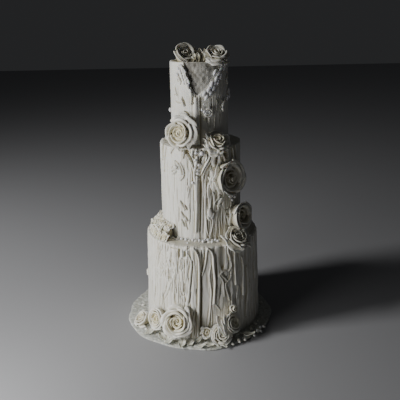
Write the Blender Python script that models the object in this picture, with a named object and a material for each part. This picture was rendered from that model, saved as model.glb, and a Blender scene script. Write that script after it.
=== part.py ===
"""Three-tier buttercream cake, dressed like a gown with drips, flutes and piped roses.

The frame is right-handed with +Z up.  The origin is the middle of the flat underside.
Azimuths are degrees about the cake's axis, 0 at the front (-Y), positive towards +X,
which is the right-hand side for somebody who looks at the front.
"""

import math
import random
from dataclasses import dataclass

import bmesh
import bpy
from mathutils import Matrix, Vector

MM = 0.001

# Driving dimensions of the three stacked tiers.
GAP = 0.3 * MM
FOOT_RADIUS = 107.5 * MM
BOTTOM_RADIUS = 101.5 * MM
BOTTOM_TOP = 177.8 * MM
MIDDLE_FOOT_RADIUS = 72.2 * MM
MIDDLE_RADIUS = 70.9 * MM
MIDDLE_TOP = 340.2 * MM
UPPER_FOOT_RADIUS = 50.3 * MM
UPPER_RADIUS = 49.1 * MM
UPPER_TOP = 475.9 * MM

# Icing spread round the foot, on which the lowest flowers lie.  It reaches further on the left.
SKIRT_RADIUS = 137.0 * MM
SKIRT_MIDDLE = (-8.0 * MM, 0.5 * MM)
SKIRT_WAVE = 2.6 * MM
SKIRT_THICKNESS = 4.0 * MM
SKIRT_EDGE = 1.3 * MM
SKIRT_COLUMNS = 56

# The overlap that runs down the front of the tiers, like the closing edge of a gown.
WRAP_AZIMUTH = -4.4
WRAP_WIDTH = 4.6 * MM
WRAP_DEPTH = 3.0 * MM
WRAP_SLOT = 1.4 * MM

# V-shaped neckline of the top tier, as x and z of its edge seen from the front.
NECK_DEPTH = 5.0 * MM
NECK_DRUM_MIDDLE = 450.0 * MM
NECK_DRUM_HEIGHT = 140.0 * MM
NECK_LEFT_TOP = (-29.0 * MM, 480.0 * MM)
NECK_LEFT_BEND = (-18.5 * MM, 449.0 * MM)
NECK_TIP = (-5.0 * MM, 420.0 * MM)
NECK_RIGHT_BEND = (19.0 * MM, 434.0 * MM)
NECK_RIGHT_TOP = (36.5 * MM, 480.0 * MM)

# Cross-sections of a ridge: offset in half widths, share of its depth.
FLUTE_SECTION = ((-1.0, 0.0), (0.0, 1.0), (1.0, 0.0))
DRIP_SECTION = ((-1.0, 0.0), (-0.42, 1.0), (0.42, 1.0), (1.0, 0.0))

# The banks of small petals on the ledge of the bottom tier.
BANK_REACH = 22.0 * MM
BANK_HEIGHT = 24.0 * MM
BANK_WALL_GAP = 2.0 * MM
BANK_STEPS = 5
PETAL_RADIUS = (4.2 * MM, 5.4 * MM)

# Leaves pressed with a leaf nozzle.
LEAF_THICKNESS = 1.3 * MM
LEAF_RIPPLE = 0.5 * MM
TOP_LEAF_LENGTH = 17.0 * MM
TOP_LEAF_WIDTH = 8.0 * MM
LEAF_LIFT = 4.0 * MM
LEAF_SLIMNESS = 0.62

# A rose's foot and its narrow root, as shares of its outer radius.
CORE_SHARE = 0.90
ROOT_SHARE = 0.66

# Clearance kept by the cutters that fit a flower to a fluted side.
FIT_CLEARANCE = 0.45 * MM
MERGE_DISTANCE = 0.01 * MM
FLUTE_SEED = 11
BANK_SEED = 21
CUTTER_SIDES = 36
NECK_DRUM_SIDES = 40
BLOCK_SIZE = 400.0 * MM
SHARP_ANGLE = 40.0

# Heights that part the flowers of the foot, the ledge and the waist.
LEDGE_LEVEL = 100.0 * MM
WAIST_LEVEL = 320.0 * MM

BUTTERCREAM = (0.80, 0.76, 0.66)
ROSE_CREAM = (0.82, 0.77, 0.64)
LEAF_CREAM = (0.74, 0.72, 0.60)
SPREAD_CREAM = (0.70, 0.69, 0.62)


def clear_scene():
    """Remove every object of the open scene."""
    for old in list(bpy.data.objects):
        bpy.data.objects.remove(old, do_unlink=True)


def finish(name, colour, roughness=0.55):
    """Return a plain icing material."""
    material = bpy.data.materials.new(name)
    material.use_nodes = True
    shader = material.node_tree.nodes["Principled BSDF"]
    shader.inputs["Base Color"].default_value = (*colour, 1.0)
    shader.inputs["Roughness"].default_value = roughness
    shader.inputs["Metallic"].default_value = 0.0
    return material


def new_object(name, bm, colour=None):
    """Turn a bmesh into an object of the scene, with its own material if it has a colour."""
    mesh = bpy.data.meshes.new(name)
    bm.to_mesh(mesh)
    bm.free()
    item = bpy.data.objects.new(name, mesh)
    bpy.context.scene.collection.objects.link(item)
    if colour is not None:
        mesh.materials.append(finish(name + "_icing", colour))
        mesh.shade_smooth()
        mesh.set_sharp_from_angle(angle=math.radians(SHARP_ANGLE))
    return item


def polar(azimuth, radius, height):
    """Return the point at an azimuth in degrees, a radius and a height."""
    turn = math.radians(azimuth)
    return Vector((radius * math.sin(turn), -radius * math.cos(turn), height))


def facing(azimuth, elevation):
    """Return the unit vector that looks outwards at an azimuth and up by an elevation."""
    lift = math.radians(elevation)
    flat = polar(azimuth, math.cos(lift), 0.0)
    return Vector((flat.x, flat.y, math.sin(lift)))


def frame_at(origin, direction, spin=0.0):
    """Return the matrix whose Z axis is the direction, turned about it by spin degrees."""
    turn = direction.to_track_quat("Z", "Y").to_matrix().to_4x4()
    return Matrix.Translation(origin) @ turn @ Matrix.Rotation(math.radians(spin), 4, "Z")


def blend(low, high, share):
    """Return the value a share of the way from low to high."""
    return low + (high - low) * share


# --------------------------------------------------------------------------- booleans


def open_edges(bm):
    """Return how many edges don't have exactly two faces."""
    return sum(1 for edge in bm.edges if len(edge.link_faces) != 2)


def islands_of(bm):
    """Return the sets of connected vertices."""
    unseen = set(bm.verts)
    islands = []
    while unseen:
        stack = [unseen.pop()]
        island = set(stack)
        while stack:
            for edge in stack.pop().link_edges:
                for end in edge.verts:
                    if end in unseen:
                        unseen.discard(end)
                        island.add(end)
                        stack.append(end)
        islands.append(island)
    return islands


def split_mesh(mesh, method, distance):
    """Return a mesh as triangles, its doubles within a distance merged."""
    bm = bmesh.new()
    bm.from_mesh(mesh)
    bmesh.ops.remove_doubles(bm, verts=bm.verts, dist=distance)
    bmesh.ops.dissolve_degenerate(bm, dist=distance, edges=bm.edges)
    bmesh.ops.triangulate(bm, faces=bm.faces, ngon_method=method)
    return bm


def tidy_mesh(item):
    """Split faces into triangles the first way that stays closed, and drop loose scraps."""
    ways = [(method, distance) for distance in (MERGE_DISTANCE, 0.1 * MERGE_DISTANCE)
            for method in ("BEAUTY", "EAR_CLIP")]
    for method, distance in ways:
        bm = split_mesh(item.data, method, distance)
        if open_edges(bm) == 0 or (method, distance) == ways[-1]:
            break
        bm.free()
    islands = islands_of(bm)
    largest = max(islands, key=len)
    scraps = [vert for island in islands if island is not largest for vert in island]
    bmesh.ops.delete(bm, geom=scraps, context="VERTS")
    bm.to_mesh(item.data)
    bm.free()


def apply_boolean(item, pieces, operation, solver):
    """Join or cut an object by other objects, apply it, and remove those objects."""
    group = bpy.data.collections.new("boolean_pieces")
    bpy.context.scene.collection.children.link(group)
    for piece in pieces:
        group.objects.link(piece)
    step = item.modifiers.new("boolean", "BOOLEAN")
    step.operation = operation
    step.solver = solver
    step.operand_type = "COLLECTION"
    step.collection = group
    bpy.context.view_layer.update()
    scene_state = bpy.context.evaluated_depsgraph_get()
    result = bpy.data.meshes.new_from_object(item.evaluated_get(scene_state))
    item.modifiers.clear()
    old = item.data
    result.name = old.name + "_joined"
    item.data = result
    bpy.data.meshes.remove(old)
    for piece in pieces:
        bpy.data.objects.remove(piece, do_unlink=True)
    bpy.data.collections.remove(group)
    tidy_mesh(item)


def fuse(item, pieces):
    """Join small icing pieces to the solid that they lie on."""
    apply_boolean(item, pieces, "UNION", "MANIFOLD")


def carve(item, cutters):
    """Cut an object by each cutter in turn."""
    for cutter in cutters:
        apply_boolean(item, [cutter], "DIFFERENCE", "EXACT")


# --------------------------------------------------------------------------- tier sides


@dataclass
class Ridge:
    """One flute or drip of icing that runs down a tier's side."""

    azimuth: float
    width: float
    depth: float
    tip: float = 0.0
    swell: float = 1.0


@dataclass
class Tier:
    """One cake of the stack with its ridged coat of icing."""

    name: str
    base: float
    top: float
    foot_radius: float
    top_radius: float
    ridges: list
    foot_band: float = 6.0 * MM
    rim_round: float = 3.0 * MM

    def radius(self, height):
        """Return the plain radius of the side at a height."""
        share = (height - self.base) / (self.top - self.base)
        return blend(self.foot_radius, self.top_radius, min(max(share, 0.0), 1.0))


def ridge_rows(tier, ridge):
    """Return the height and the swell of each row of a ridge, foot to rim."""
    reach = tier.top - tier.base
    if ridge.tip <= 0.0:
        shares = ((0.22, 0.85), (0.42, 1.0), (0.60, 0.9), (0.80, 1.0))
        rows = [(tier.base + share * reach, swell) for share, swell in shares]
    else:
        drop = tier.base + ridge.tip
        rows = [
            (drop - 0.30 * ridge.width, 0.0),
            (drop, 0.85 * ridge.swell),
            (drop + 1.1 * ridge.width, 1.15 * ridge.swell),
            (blend(drop, tier.top, 0.6), 0.8),
        ]
    foot = [(tier.base, None), (tier.base + tier.foot_band, None)]
    return foot + rows + [(tier.top - 1.1 * tier.rim_round, 0.35), (tier.top, None)]


def tier_solid(tier):
    """Return the closed, ridged solid of a tier."""
    bm = bmesh.new()
    columns = []
    for ridge in sorted(tier.ridges, key=lambda one: one.azimuth):
        half = math.degrees(0.5 * ridge.width / tier.foot_radius)
        section = DRIP_SECTION if ridge.tip > 0.0 else FLUTE_SECTION
        for offset, share in section:
            rings = []
            for height, swell in ridge_rows(tier, ridge):
                radius = tier.radius(height)
                if height >= tier.top:
                    radius -= tier.rim_round
                if swell is not None:
                    radius += ridge.depth * swell * share
                rings.append(bm.verts.new(polar(ridge.azimuth + offset * half, radius, height)))
            columns.append(rings)
    for index, column in enumerate(columns):
        after = columns[(index + 1) % len(columns)]
        for row in range(len(column) - 1):
            bm.faces.new((column[row], after[row], after[row + 1], column[row + 1]))
    bm.faces.new([column[0] for column in reversed(columns)])
    bm.faces.new([column[-1] for column in columns])
    bmesh.ops.triangulate(bm, faces=bm.faces)
    return bm


def spread_ridges(first, last, spacing, draw, depth, tip_share, tip_range):
    """Return ridges of drawn sizes between two azimuths, some of them hanging drips."""
    count = max(1, round((last - first) / spacing))
    step = (last - first) / count
    ridges = []
    for index in range(count):
        azimuth = first + (index + 0.5) * step + draw.uniform(-0.12, 0.12) * step
        size = draw.uniform(0.75, 1.25)
        tip = draw.uniform(*tip_range) if draw.random() < tip_share else 0.0
        ridges.append(Ridge(azimuth, 0.0, depth * size, tip))
    return ridges


def set_widths(ridges, foot_radius, share=0.72, widest=11.0 * MM):
    """Give every ridge without a width one that its neighbours leave room for."""
    ridges.sort(key=lambda one: one.azimuth)
    for index, ridge in enumerate(ridges):
        before = ridges[index - 1].azimuth - (360.0 if index == 0 else 0.0)
        after = ridges[(index + 1) % len(ridges)].azimuth
        after += 360.0 if index == len(ridges) - 1 else 0.0
        room = min(ridge.azimuth - before, after - ridge.azimuth)
        if ridge.width <= 0.0:
            ridge.width = min(widest, share * math.radians(room) * foot_radius)
    return ridges


def bottom_ridges():
    """Return the ridges of the bottom tier: the front's own ones, then a drawn rest."""
    draw = random.Random(FLUTE_SEED)
    front = [
        Ridge(-84.0, 8.0 * MM, 1.6 * MM),
        Ridge(-76.5, 9.0 * MM, 2.8 * MM, 70.0 * MM),
        Ridge(-68.0, 7.0 * MM, 1.4 * MM),
        Ridge(-60.5, 7.5 * MM, 1.8 * MM),
        Ridge(-52.5, 7.0 * MM, 1.3 * MM),
        Ridge(-44.5, 8.0 * MM, 1.9 * MM),
        Ridge(-36.5, 7.0 * MM, 1.5 * MM),
        Ridge(-29.0, 7.0 * MM, 2.2 * MM),
        Ridge(-22.0, 6.0 * MM, 1.8 * MM, 30.0 * MM),
        Ridge(-15.5, 6.0 * MM, 2.4 * MM),
        Ridge(-9.3, 5.5 * MM, 2.6 * MM),
        Ridge(WRAP_AZIMUTH, WRAP_WIDTH, WRAP_DEPTH),
        Ridge(WRAP_AZIMUTH + 2.9, 4.0 * MM, -WRAP_SLOT),
        Ridge(5.4, 6.0 * MM, 1.6 * MM),
        Ridge(21.0, 15.0 * MM, -1.2 * MM, 48.0 * MM),
        Ridge(30.0, 6.0 * MM, 2.0 * MM, 52.0 * MM),
        Ridge(36.0, 5.5 * MM, 3.2 * MM, 98.0 * MM, 1.2),
        Ridge(42.0, 5.5 * MM, 1.6 * MM),
        Ridge(47.5, 5.5 * MM, 3.0 * MM, 72.0 * MM, 1.2),
        Ridge(53.5, 6.0 * MM, 3.2 * MM, 32.0 * MM, 1.1),
        Ridge(61.5, 7.5 * MM, 1.8 * MM),
        Ridge(70.5, 7.5 * MM, 3.4 * MM, 84.0 * MM, 1.3),
        Ridge(79.0, 7.5 * MM, 2.0 * MM),
    ]
    rest = spread_ridges(86.0, 270.0, 10.8, draw, 2.2 * MM, 0.4, (35.0 * MM, 110.0 * MM))
    return set_widths(front + rest, FOOT_RADIUS)


def middle_ridges():
    """Return the ridges of the middle tier, flat on its left and fluted on its right."""
    draw = random.Random(FLUTE_SEED + 1)
    front = [
        Ridge(-76.0, 9.0 * MM, 3.0 * MM, 122.0 * MM),
        Ridge(-60.0, 12.0 * MM, 0.8 * MM),
        Ridge(-42.0, 12.0 * MM, 0.6 * MM),
        Ridge(-26.0, 9.0 * MM, 0.8 * MM),
        Ridge(-14.0, 7.0 * MM, 1.2 * MM),
        Ridge(WRAP_AZIMUTH - 2.0, WRAP_WIDTH, 0.8 * WRAP_DEPTH),
        Ridge(WRAP_AZIMUTH + 2.2, 4.4 * MM, -WRAP_SLOT),
        Ridge(5.0, 4.5 * MM, 1.6 * MM),
        Ridge(11.5, 5.0 * MM, 1.8 * MM),
        Ridge(18.0, 5.0 * MM, 1.7 * MM),
        Ridge(25.0, 5.5 * MM, 2.0 * MM),
        Ridge(34.0, 6.5 * MM, 1.6 * MM),
        Ridge(46.0, 8.0 * MM, 1.2 * MM),
        Ridge(60.0, 6.5 * MM, 2.6 * MM, 118.0 * MM),
        Ridge(74.0, 8.0 * MM, 1.6 * MM),
    ]
    rest = spread_ridges(84.0, 276.0, 17.5, draw, 1.9 * MM, 0.35, (60.0 * MM, 125.0 * MM))
    return set_widths(front + rest, MIDDLE_FOOT_RADIUS)


def upper_ridges():
    """Return the low ridges of the top tier, which is nearly smooth."""
    draw = random.Random(FLUTE_SEED + 2)
    front = [
        Ridge(-78.0, 9.0 * MM, 0.6 * MM),
        Ridge(-52.0, 12.0 * MM, 0.5 * MM),
        Ridge(-26.0, 11.0 * MM, 0.5 * MM),
        Ridge(WRAP_AZIMUTH - 1.0, 6.5 * MM, 2.0 * MM),
        Ridge(14.0, 8.0 * MM, 0.8 * MM),
        Ridge(34.0, 8.0 * MM, 0.7 * MM),
        Ridge(56.0, 9.0 * MM, 0.8 * MM),
        Ridge(76.0, 8.0 * MM, 0.9 * MM),
    ]
    rest = spread_ridges(90.0, 270.0, 22.0, draw, 1.4 * MM, 0.4, (50.0 * MM, 100.0 * MM))
    return set_widths(front + rest, UPPER_FOOT_RADIUS)


# --------------------------------------------------------------------------- small piped pieces


def bead(centre, radius, direction, squash=0.8, spin=0.0, stretch=1.0):
    """Return a dot or petal of icing: a squashed ball that faces a direction."""
    bm = bmesh.new()
    bmesh.ops.create_icosphere(bm, subdivisions=1, radius=radius)
    bmesh.ops.scale(bm, verts=bm.verts, vec=(1.0, stretch, squash))
    bmesh.ops.transform(bm, verts=bm.verts, matrix=frame_at(centre, direction, spin))
    return new_object("bead", bm)


def cord(points, radii, sides=6):
    """Return a closed tapering cord of icing along a list of points."""
    bm = bmesh.new()
    rings = []
    for index, point in enumerate(points):
        before = points[max(index - 1, 0)]
        after = points[min(index + 1, len(points) - 1)]
        place = frame_at(point, (after - before).normalized())
        ring = []
        for side in range(sides):
            turn = 2.0 * math.pi * side / sides
            flat = Vector((math.cos(turn), math.sin(turn), 0.0)) * radii[index]
            ring.append(bm.verts.new(place @ flat))
        rings.append(ring)
    for ring, after in zip(rings, rings[1:]):
        for side in range(sides):
            nxt = (side + 1) % sides
            bm.faces.new((ring[side], ring[nxt], after[nxt], after[side]))
    bm.faces.new(list(reversed(rings[0])))
    bm.faces.new(rings[-1])
    bmesh.ops.recalc_face_normals(bm, faces=bm.faces)
    return new_object("cord", bm)


def side_cord(tier, stops, thick, sink=0.42, sides=6):
    """Return a cord that lies on a tier's side through (azimuth, height) stops."""
    points = [polar(azimuth, tier.radius(height) + thick * (1.0 - 2.0 * sink), height)
              for azimuth, height in stops]
    radii = [thick] * len(points)
    radii[0] = 0.6 * thick
    radii[-1] = 0.75 * thick
    return cord(points, radii, sides)


def side_petal(tier, azimuth, height, size, spin=0.0, stretch=1.6, squash=0.55):
    """Return a petal-shaped dab of icing that lies on a tier's side."""
    centre = polar(azimuth, tier.radius(height) + 0.15 * size, height)
    return bead(centre, size, facing(azimuth, 0.0), squash, spin, stretch)


# --------------------------------------------------------------------------- roses and leaves


@dataclass
class Rose:
    """A piped rose: one petal ribbon wound outwards in a spiral round a bud."""

    name: str
    place: tuple  # azimuth, distance from the axis and height of its middle
    look: tuple  # azimuth and elevation that it faces
    radius: float
    height: float
    turns: float = 3.0
    stations: int = 11
    bud: float = 0.8
    droop: float = 0.25
    flare: float = 0.12
    root: float = 14.0 * MM
    spin: float = 0.0
    lobes: float = 3.4

    @property
    def centre(self):
        """Return the middle of the rose."""
        azimuth, distance, height = self.place
        return polar(azimuth, distance * MM, height * MM)

    @property
    def direction(self):
        """Return the unit vector that the rose faces along."""
        return facing(*self.look)


def rose_solid(rose):
    """Return the closed solid of a rose, before it is fitted to what it lies on."""
    bm = bmesh.new()
    per_turn = rose.stations
    total = round(rose.turns * per_turn)
    grown = total - per_turn
    core = CORE_SHARE * rose.radius
    first = 0.55 * core * per_turn / grown

    def spiral(index):
        return blend(first, core, min(index / grown, 1.0))

    def place(index, radius, height):
        turn = 2.0 * math.pi * index / per_turn
        return bm.verts.new((radius * math.cos(turn), radius * math.sin(turn), height))

    def crest(share):
        rise = blend(rose.bud, 1.0, min(share / 0.55, 1.0))
        return rose.height * (rise - rose.droop * max(share - 0.45, 0.0) / 0.55)

    def valley(share):
        return rose.height * blend(0.40 * rose.bud, 0.05, share)

    centre = bm.verts.new((0.0, 0.0, 0.7 * crest(0.0)))
    edge = [place(index, spiral(index), valley(spiral(index) / core)) for index in range(total)]
    lips = [None]
    for index in range(1, total):
        outer = spiral(index)
        inner = spiral(index - per_turn) if index >= per_turn else 0.0
        width = outer - inner
        share = outer / core
        full = min(1.0, 2.2 * width * (grown / per_turn) / core)
        lobe = 1.0 - 0.20 * (1.0 - abs(math.sin(math.pi * rose.lobes * index / per_turn)))
        top = blend(valley(share), crest(share) * lobe, full)
        lean = rose.flare * rose.radius * share ** 1.5 * full
        inner_lip = place(index, inner + 0.50 * width + lean * lobe, top)
        outer_lip = place(index, inner + 0.84 * width + lean * lobe, top - 0.07 * rose.height * full)
        lips.append((inner_lip, outer_lip))

    def chain(index):
        inner = edge[index - per_turn] if index >= per_turn else centre
        return (inner, *lips[index], edge[index])

    start = chain(1)
    for low, high in zip(start, start[1:]):
        bm.faces.new((edge[0], high, low))
    for index in range(1, total - 1):
        here = chain(index)
        after = chain(index + 1)
        for row in range(3):
            corners = (here[row], here[row + 1], after[row + 1], after[row])
            bm.faces.new([corner for spot, corner in enumerate(corners)
                          if corner is not corners[spot - 1]])
    last = chain(total - 1)
    for low, high in zip(last, last[1:]):
        bm.faces.new((low, high, edge[total - per_turn]))
    rim = edge[total - per_turn:]
    root = [place(total - per_turn + step, ROOT_SHARE * rose.radius, -rose.root)
            for step in range(per_turn)]
    for step in range(per_turn):
        nxt = (step + 1) % per_turn
        bm.faces.new((rim[step], root[step], root[nxt], rim[nxt]))
    bm.faces.new(root)
    bmesh.ops.recalc_face_normals(bm, faces=bm.faces)
    bmesh.ops.triangulate(bm, faces=bm.faces)
    bmesh.ops.transform(bm, verts=bm.verts,
                        matrix=frame_at(rose.centre, rose.direction, rose.spin))
    return bm


def envelope(rose, grow=FIT_CLEARANCE, sides=10):
    """Return a plain bowl-shaped cutter that a rose fits inside, larger by grow."""
    bm = bmesh.new()
    widen = 1.0 / math.cos(math.pi / sides)
    outer = (rose.radius * (0.88 + rose.flare) + grow) * widen
    profile = (((ROOT_SHARE * rose.radius + grow) * widen, -rose.root - grow),
               ((CORE_SHARE * rose.radius + grow) * widen, 0.05 * rose.height - grow),
               (outer, 0.45 * rose.height),
               (outer, 0.80 * rose.height + grow),
               (0.65 * rose.radius, 1.05 * rose.height + grow))
    rings = []
    for radius, height in profile:
        ring = []
        for side in range(sides):
            turn = 2.0 * math.pi * side / sides
            ring.append(bm.verts.new((radius * math.cos(turn), radius * math.sin(turn), height)))
        rings.append(ring)
    for ring, after in zip(rings, rings[1:]):
        for side in range(sides):
            nxt = (side + 1) % sides
            bm.faces.new((ring[side], ring[nxt], after[nxt], after[side]))
    bm.faces.new(list(reversed(rings[0])))
    bm.faces.new(rings[-1])
    bmesh.ops.transform(bm, verts=bm.verts, matrix=frame_at(rose.centre, rose.direction))
    return new_object("envelope", bm)


def leaf_solid(length, width, thickness, lift, ripple, cells=4):
    """Return a thin wavy leaf that points along +Y, both faces split alike."""
    bm = bmesh.new()
    tops = []
    bottoms = []
    for step in range(cells + 1):
        share = step / cells
        half = 0.5 * width * math.sin(math.pi * blend(0.16, 0.94, share))
        rise = lift * share * share + ripple * math.sin(2.0 * math.pi * share)
        for side in (-1, 0, 1):
            crease = -0.12 * width if side == 0 else 0.10 * width * math.sin(3.0 * math.pi * share)
            spot = Vector((side * half, share * length, rise + crease))
            tops.append(bm.verts.new(spot + Vector((0.0, 0.0, thickness))))
            bottoms.append(bm.verts.new(spot))
    for step in range(cells):
        for side in range(2):
            a = 3 * step + side
            b = a + 1
            c = a + 3
            d = a + 4
            for tri in ((a, b, d), (a, d, c)):
                bm.faces.new([tops[corner] for corner in tri])
                bm.faces.new([bottoms[corner] for corner in reversed(tri)])
    rim = [3 * step for step in range(cells + 1)]
    rim += [3 * cells + 1]
    rim += [3 * step + 2 for step in range(cells, -1, -1)]
    rim += [1]
    for index, corner in enumerate(rim):
        after = rim[(index + 1) % len(rim)]
        bm.faces.new((tops[corner], tops[after], bottoms[after]))
        bm.faces.new((tops[corner], bottoms[after], bottoms[corner]))
    bmesh.ops.recalc_face_normals(bm, faces=bm.faces)
    return bm


def make_leaf(name, azimuth, radius, height, yaw, length, width, lift, pitch):
    """Add one leaf that starts at a place and points outwards, turned by yaw."""
    bm = leaf_solid(length, width, LEAF_THICKNESS, lift, LEAF_RIPPLE)
    turn = Matrix.Rotation(math.radians(azimuth + yaw + 180.0), 4, "Z")
    tilt = Matrix.Rotation(math.radians(pitch), 4, "X")
    bmesh.ops.transform(bm, verts=bm.verts, matrix=turn @ tilt)
    lowest = min(vert.co.z for vert in bm.verts)
    shift = polar(azimuth, radius, height - lowest)
    bmesh.ops.translate(bm, verts=bm.verts, vec=shift)
    return new_object(name, bm, LEAF_CREAM)


# --------------------------------------------------------------------------- the pieces


BOTTOM = Tier("bottom_tier", 0.0, BOTTOM_TOP, FOOT_RADIUS, BOTTOM_RADIUS, bottom_ridges(),
              rim_round=4.0 * MM)
MIDDLE = Tier("middle_tier", BOTTOM_TOP + GAP, MIDDLE_TOP, MIDDLE_FOOT_RADIUS, MIDDLE_RADIUS,
              middle_ridges())
UPPER = Tier("top_tier", MIDDLE_TOP + GAP, UPPER_TOP, UPPER_FOOT_RADIUS, UPPER_RADIUS,
             upper_ridges(), rim_round=2.0 * MM)


def make_bottom_tier():
    """Add the bottom tier with its arch-shaped drip and the pearls on its ledge."""
    item = new_object(BOTTOM.name, tier_solid(BOTTOM), BUTTERCREAM)
    pieces = [
        side_cord(BOTTOM, ((7.7, 173 * MM), (4.2, 156 * MM), (1.6, 132 * MM), (1.0, 100 * MM)),
                  2.2 * MM),
        side_cord(BOTTOM, ((7.9, 172 * MM), (11.6, 160 * MM), (13.4, 140 * MM),
                           (13.2, 100 * MM), (13.0, 62 * MM)), 2.4 * MM),
        side_cord(BOTTOM, ((9.6, 66 * MM), (8.6, 48 * MM), (8.8, 20 * MM)), 2.2 * MM),
        side_petal(BOTTOM, -43.0, 128 * MM, 4.0 * MM, 30.0),
        side_petal(BOTTOM, -33.0, 118 * MM, 3.6 * MM, 100.0),
        side_petal(BOTTOM, 27.5, 140 * MM, 3.6 * MM, 20.0),
        side_petal(BOTTOM, 26.5, 118 * MM, 4.0 * MM, 60.0),
    ]
    draw = random.Random(FLUTE_SEED + 3)
    for azimuth in (-30.0, -24.0, -11.0, -3.0, 5.0, 12.0, 18.0, 118.0, 130.0, 148.0, 203.0):
        radius = draw.uniform(80.0, 84.0) * MM
        size = draw.uniform(2.8, 3.8) * MM
        spot = polar(azimuth, radius, BOTTOM_TOP + 0.3 * size)
        pieces.append(bead(spot, size, Vector((0.0, 0.0, 1.0)), 0.8))
    fuse(item, pieces)
    return item


def make_middle_tier():
    """Add the middle tier with its draped swag, bead string, shells and leaf strokes."""
    item = new_object(MIDDLE.name, tier_solid(MIDDLE), BUTTERCREAM)
    rim = MIDDLE_TOP - 5.0 * MM
    pieces = [
        side_cord(MIDDLE, ((11.0, rim), (9.0, 318 * MM), (3.0, 298 * MM), (0.5, 280 * MM)),
                  2.4 * MM),
        side_cord(MIDDLE, ((15.0, rim), (15.5, 316 * MM), (13.5, 296 * MM), (14.5, 272 * MM)),
                  2.8 * MM),
        side_cord(MIDDLE, ((25.0, rim), (27.0, 327 * MM), (25.0, 318 * MM)), 2.8 * MM),
        side_cord(MIDDLE, ((-29.0, rim), (-33.0, 330 * MM), (-36.0, 322 * MM)), 1.8 * MM),
        side_cord(MIDDLE, ((-30.0, 307 * MM), (-25.0, 300 * MM), (-23.0, 290 * MM),
                           (-25.5, 283 * MM)), 1.5 * MM),
        side_petal(MIDDLE, -37.0, 303 * MM, 4.6 * MM, 70.0, 1.5, 0.6),
        side_petal(MIDDLE, -9.0, 282 * MM, 2.8 * MM, 0.0, 1.0, 0.9),
        side_petal(MIDDLE, 13.0, 227.5 * MM, 5.0 * MM, 60.0, 1.3, 0.6),
        side_petal(MIDDLE, 11.5, 208 * MM, 3.6 * MM, 0.0, 2.6, 0.6),
        side_petal(MIDDLE, 27.0, 245 * MM, 4.4 * MM, -40.0, 1.8, 0.6),
        side_petal(MIDDLE, 41.0, 212 * MM, 3.8 * MM, -8.0, 2.8, 0.6),
        side_petal(MIDDLE, 50.0, 247 * MM, 3.0 * MM, 20.0, 1.3, 0.7),
    ]
    for height, spin in ((238.0, 35.0), (226.0, 35.0), (214.0, 30.0), (203.0, 30.0)):
        pieces.append(side_petal(MIDDLE, -24.0, height * MM, 2.2 * MM, spin, 2.6, 0.6))
    for height, size in ((331.0, 4.0), (321.0, 2.6), (312.0, 2.4), (303.0, 2.4), (294.0, 2.2)):
        pieces.append(side_petal(MIDDLE, blend(-6.0, 3.0, (height - 294.0) / 37.0),
                                 height * MM, size * MM, 0.0, 1.0, 0.9))
    for azimuth, height in ((128.0, 250.0), (156.0, 300.0), (185.0, 232.0), (212.0, 285.0)):
        pieces.append(side_petal(MIDDLE, azimuth, height * MM, 4.2 * MM, 40.0))
    fuse(item, pieces)
    return item


def neck_cutter():
    """Return the V-shaped wedge that opens the neckline down to a smooth inner drum."""
    bm = bmesh.new()
    outline = (NECK_LEFT_TOP, NECK_LEFT_BEND, NECK_TIP, NECK_RIGHT_BEND, NECK_RIGHT_TOP)
    front = [bm.verts.new((x, -1.3 * UPPER_RADIUS, z)) for x, z in outline]
    face = bm.faces.new(front)
    grown = bmesh.ops.extrude_face_region(bm, geom=[face])
    back = [part for part in grown["geom"] if isinstance(part, bmesh.types.BMVert)]
    bmesh.ops.translate(bm, verts=back, vec=(0.0, 1.1 * UPPER_RADIUS, 0.0))
    bmesh.ops.recalc_face_normals(bm, faces=bm.faces)
    wedge = new_object("neck_wedge", bm)
    drum_mesh = bmesh.new()
    bmesh.ops.create_cone(drum_mesh, cap_ends=True, segments=NECK_DRUM_SIDES,
                          radius1=UPPER_RADIUS - NECK_DEPTH, radius2=UPPER_RADIUS - NECK_DEPTH,
                          depth=NECK_DRUM_HEIGHT)
    bmesh.ops.translate(drum_mesh, verts=drum_mesh.verts, vec=(0.0, 0.0, NECK_DRUM_MIDDLE))
    carve(wedge, [new_object("neck_drum", drum_mesh)])
    return wedge


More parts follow.
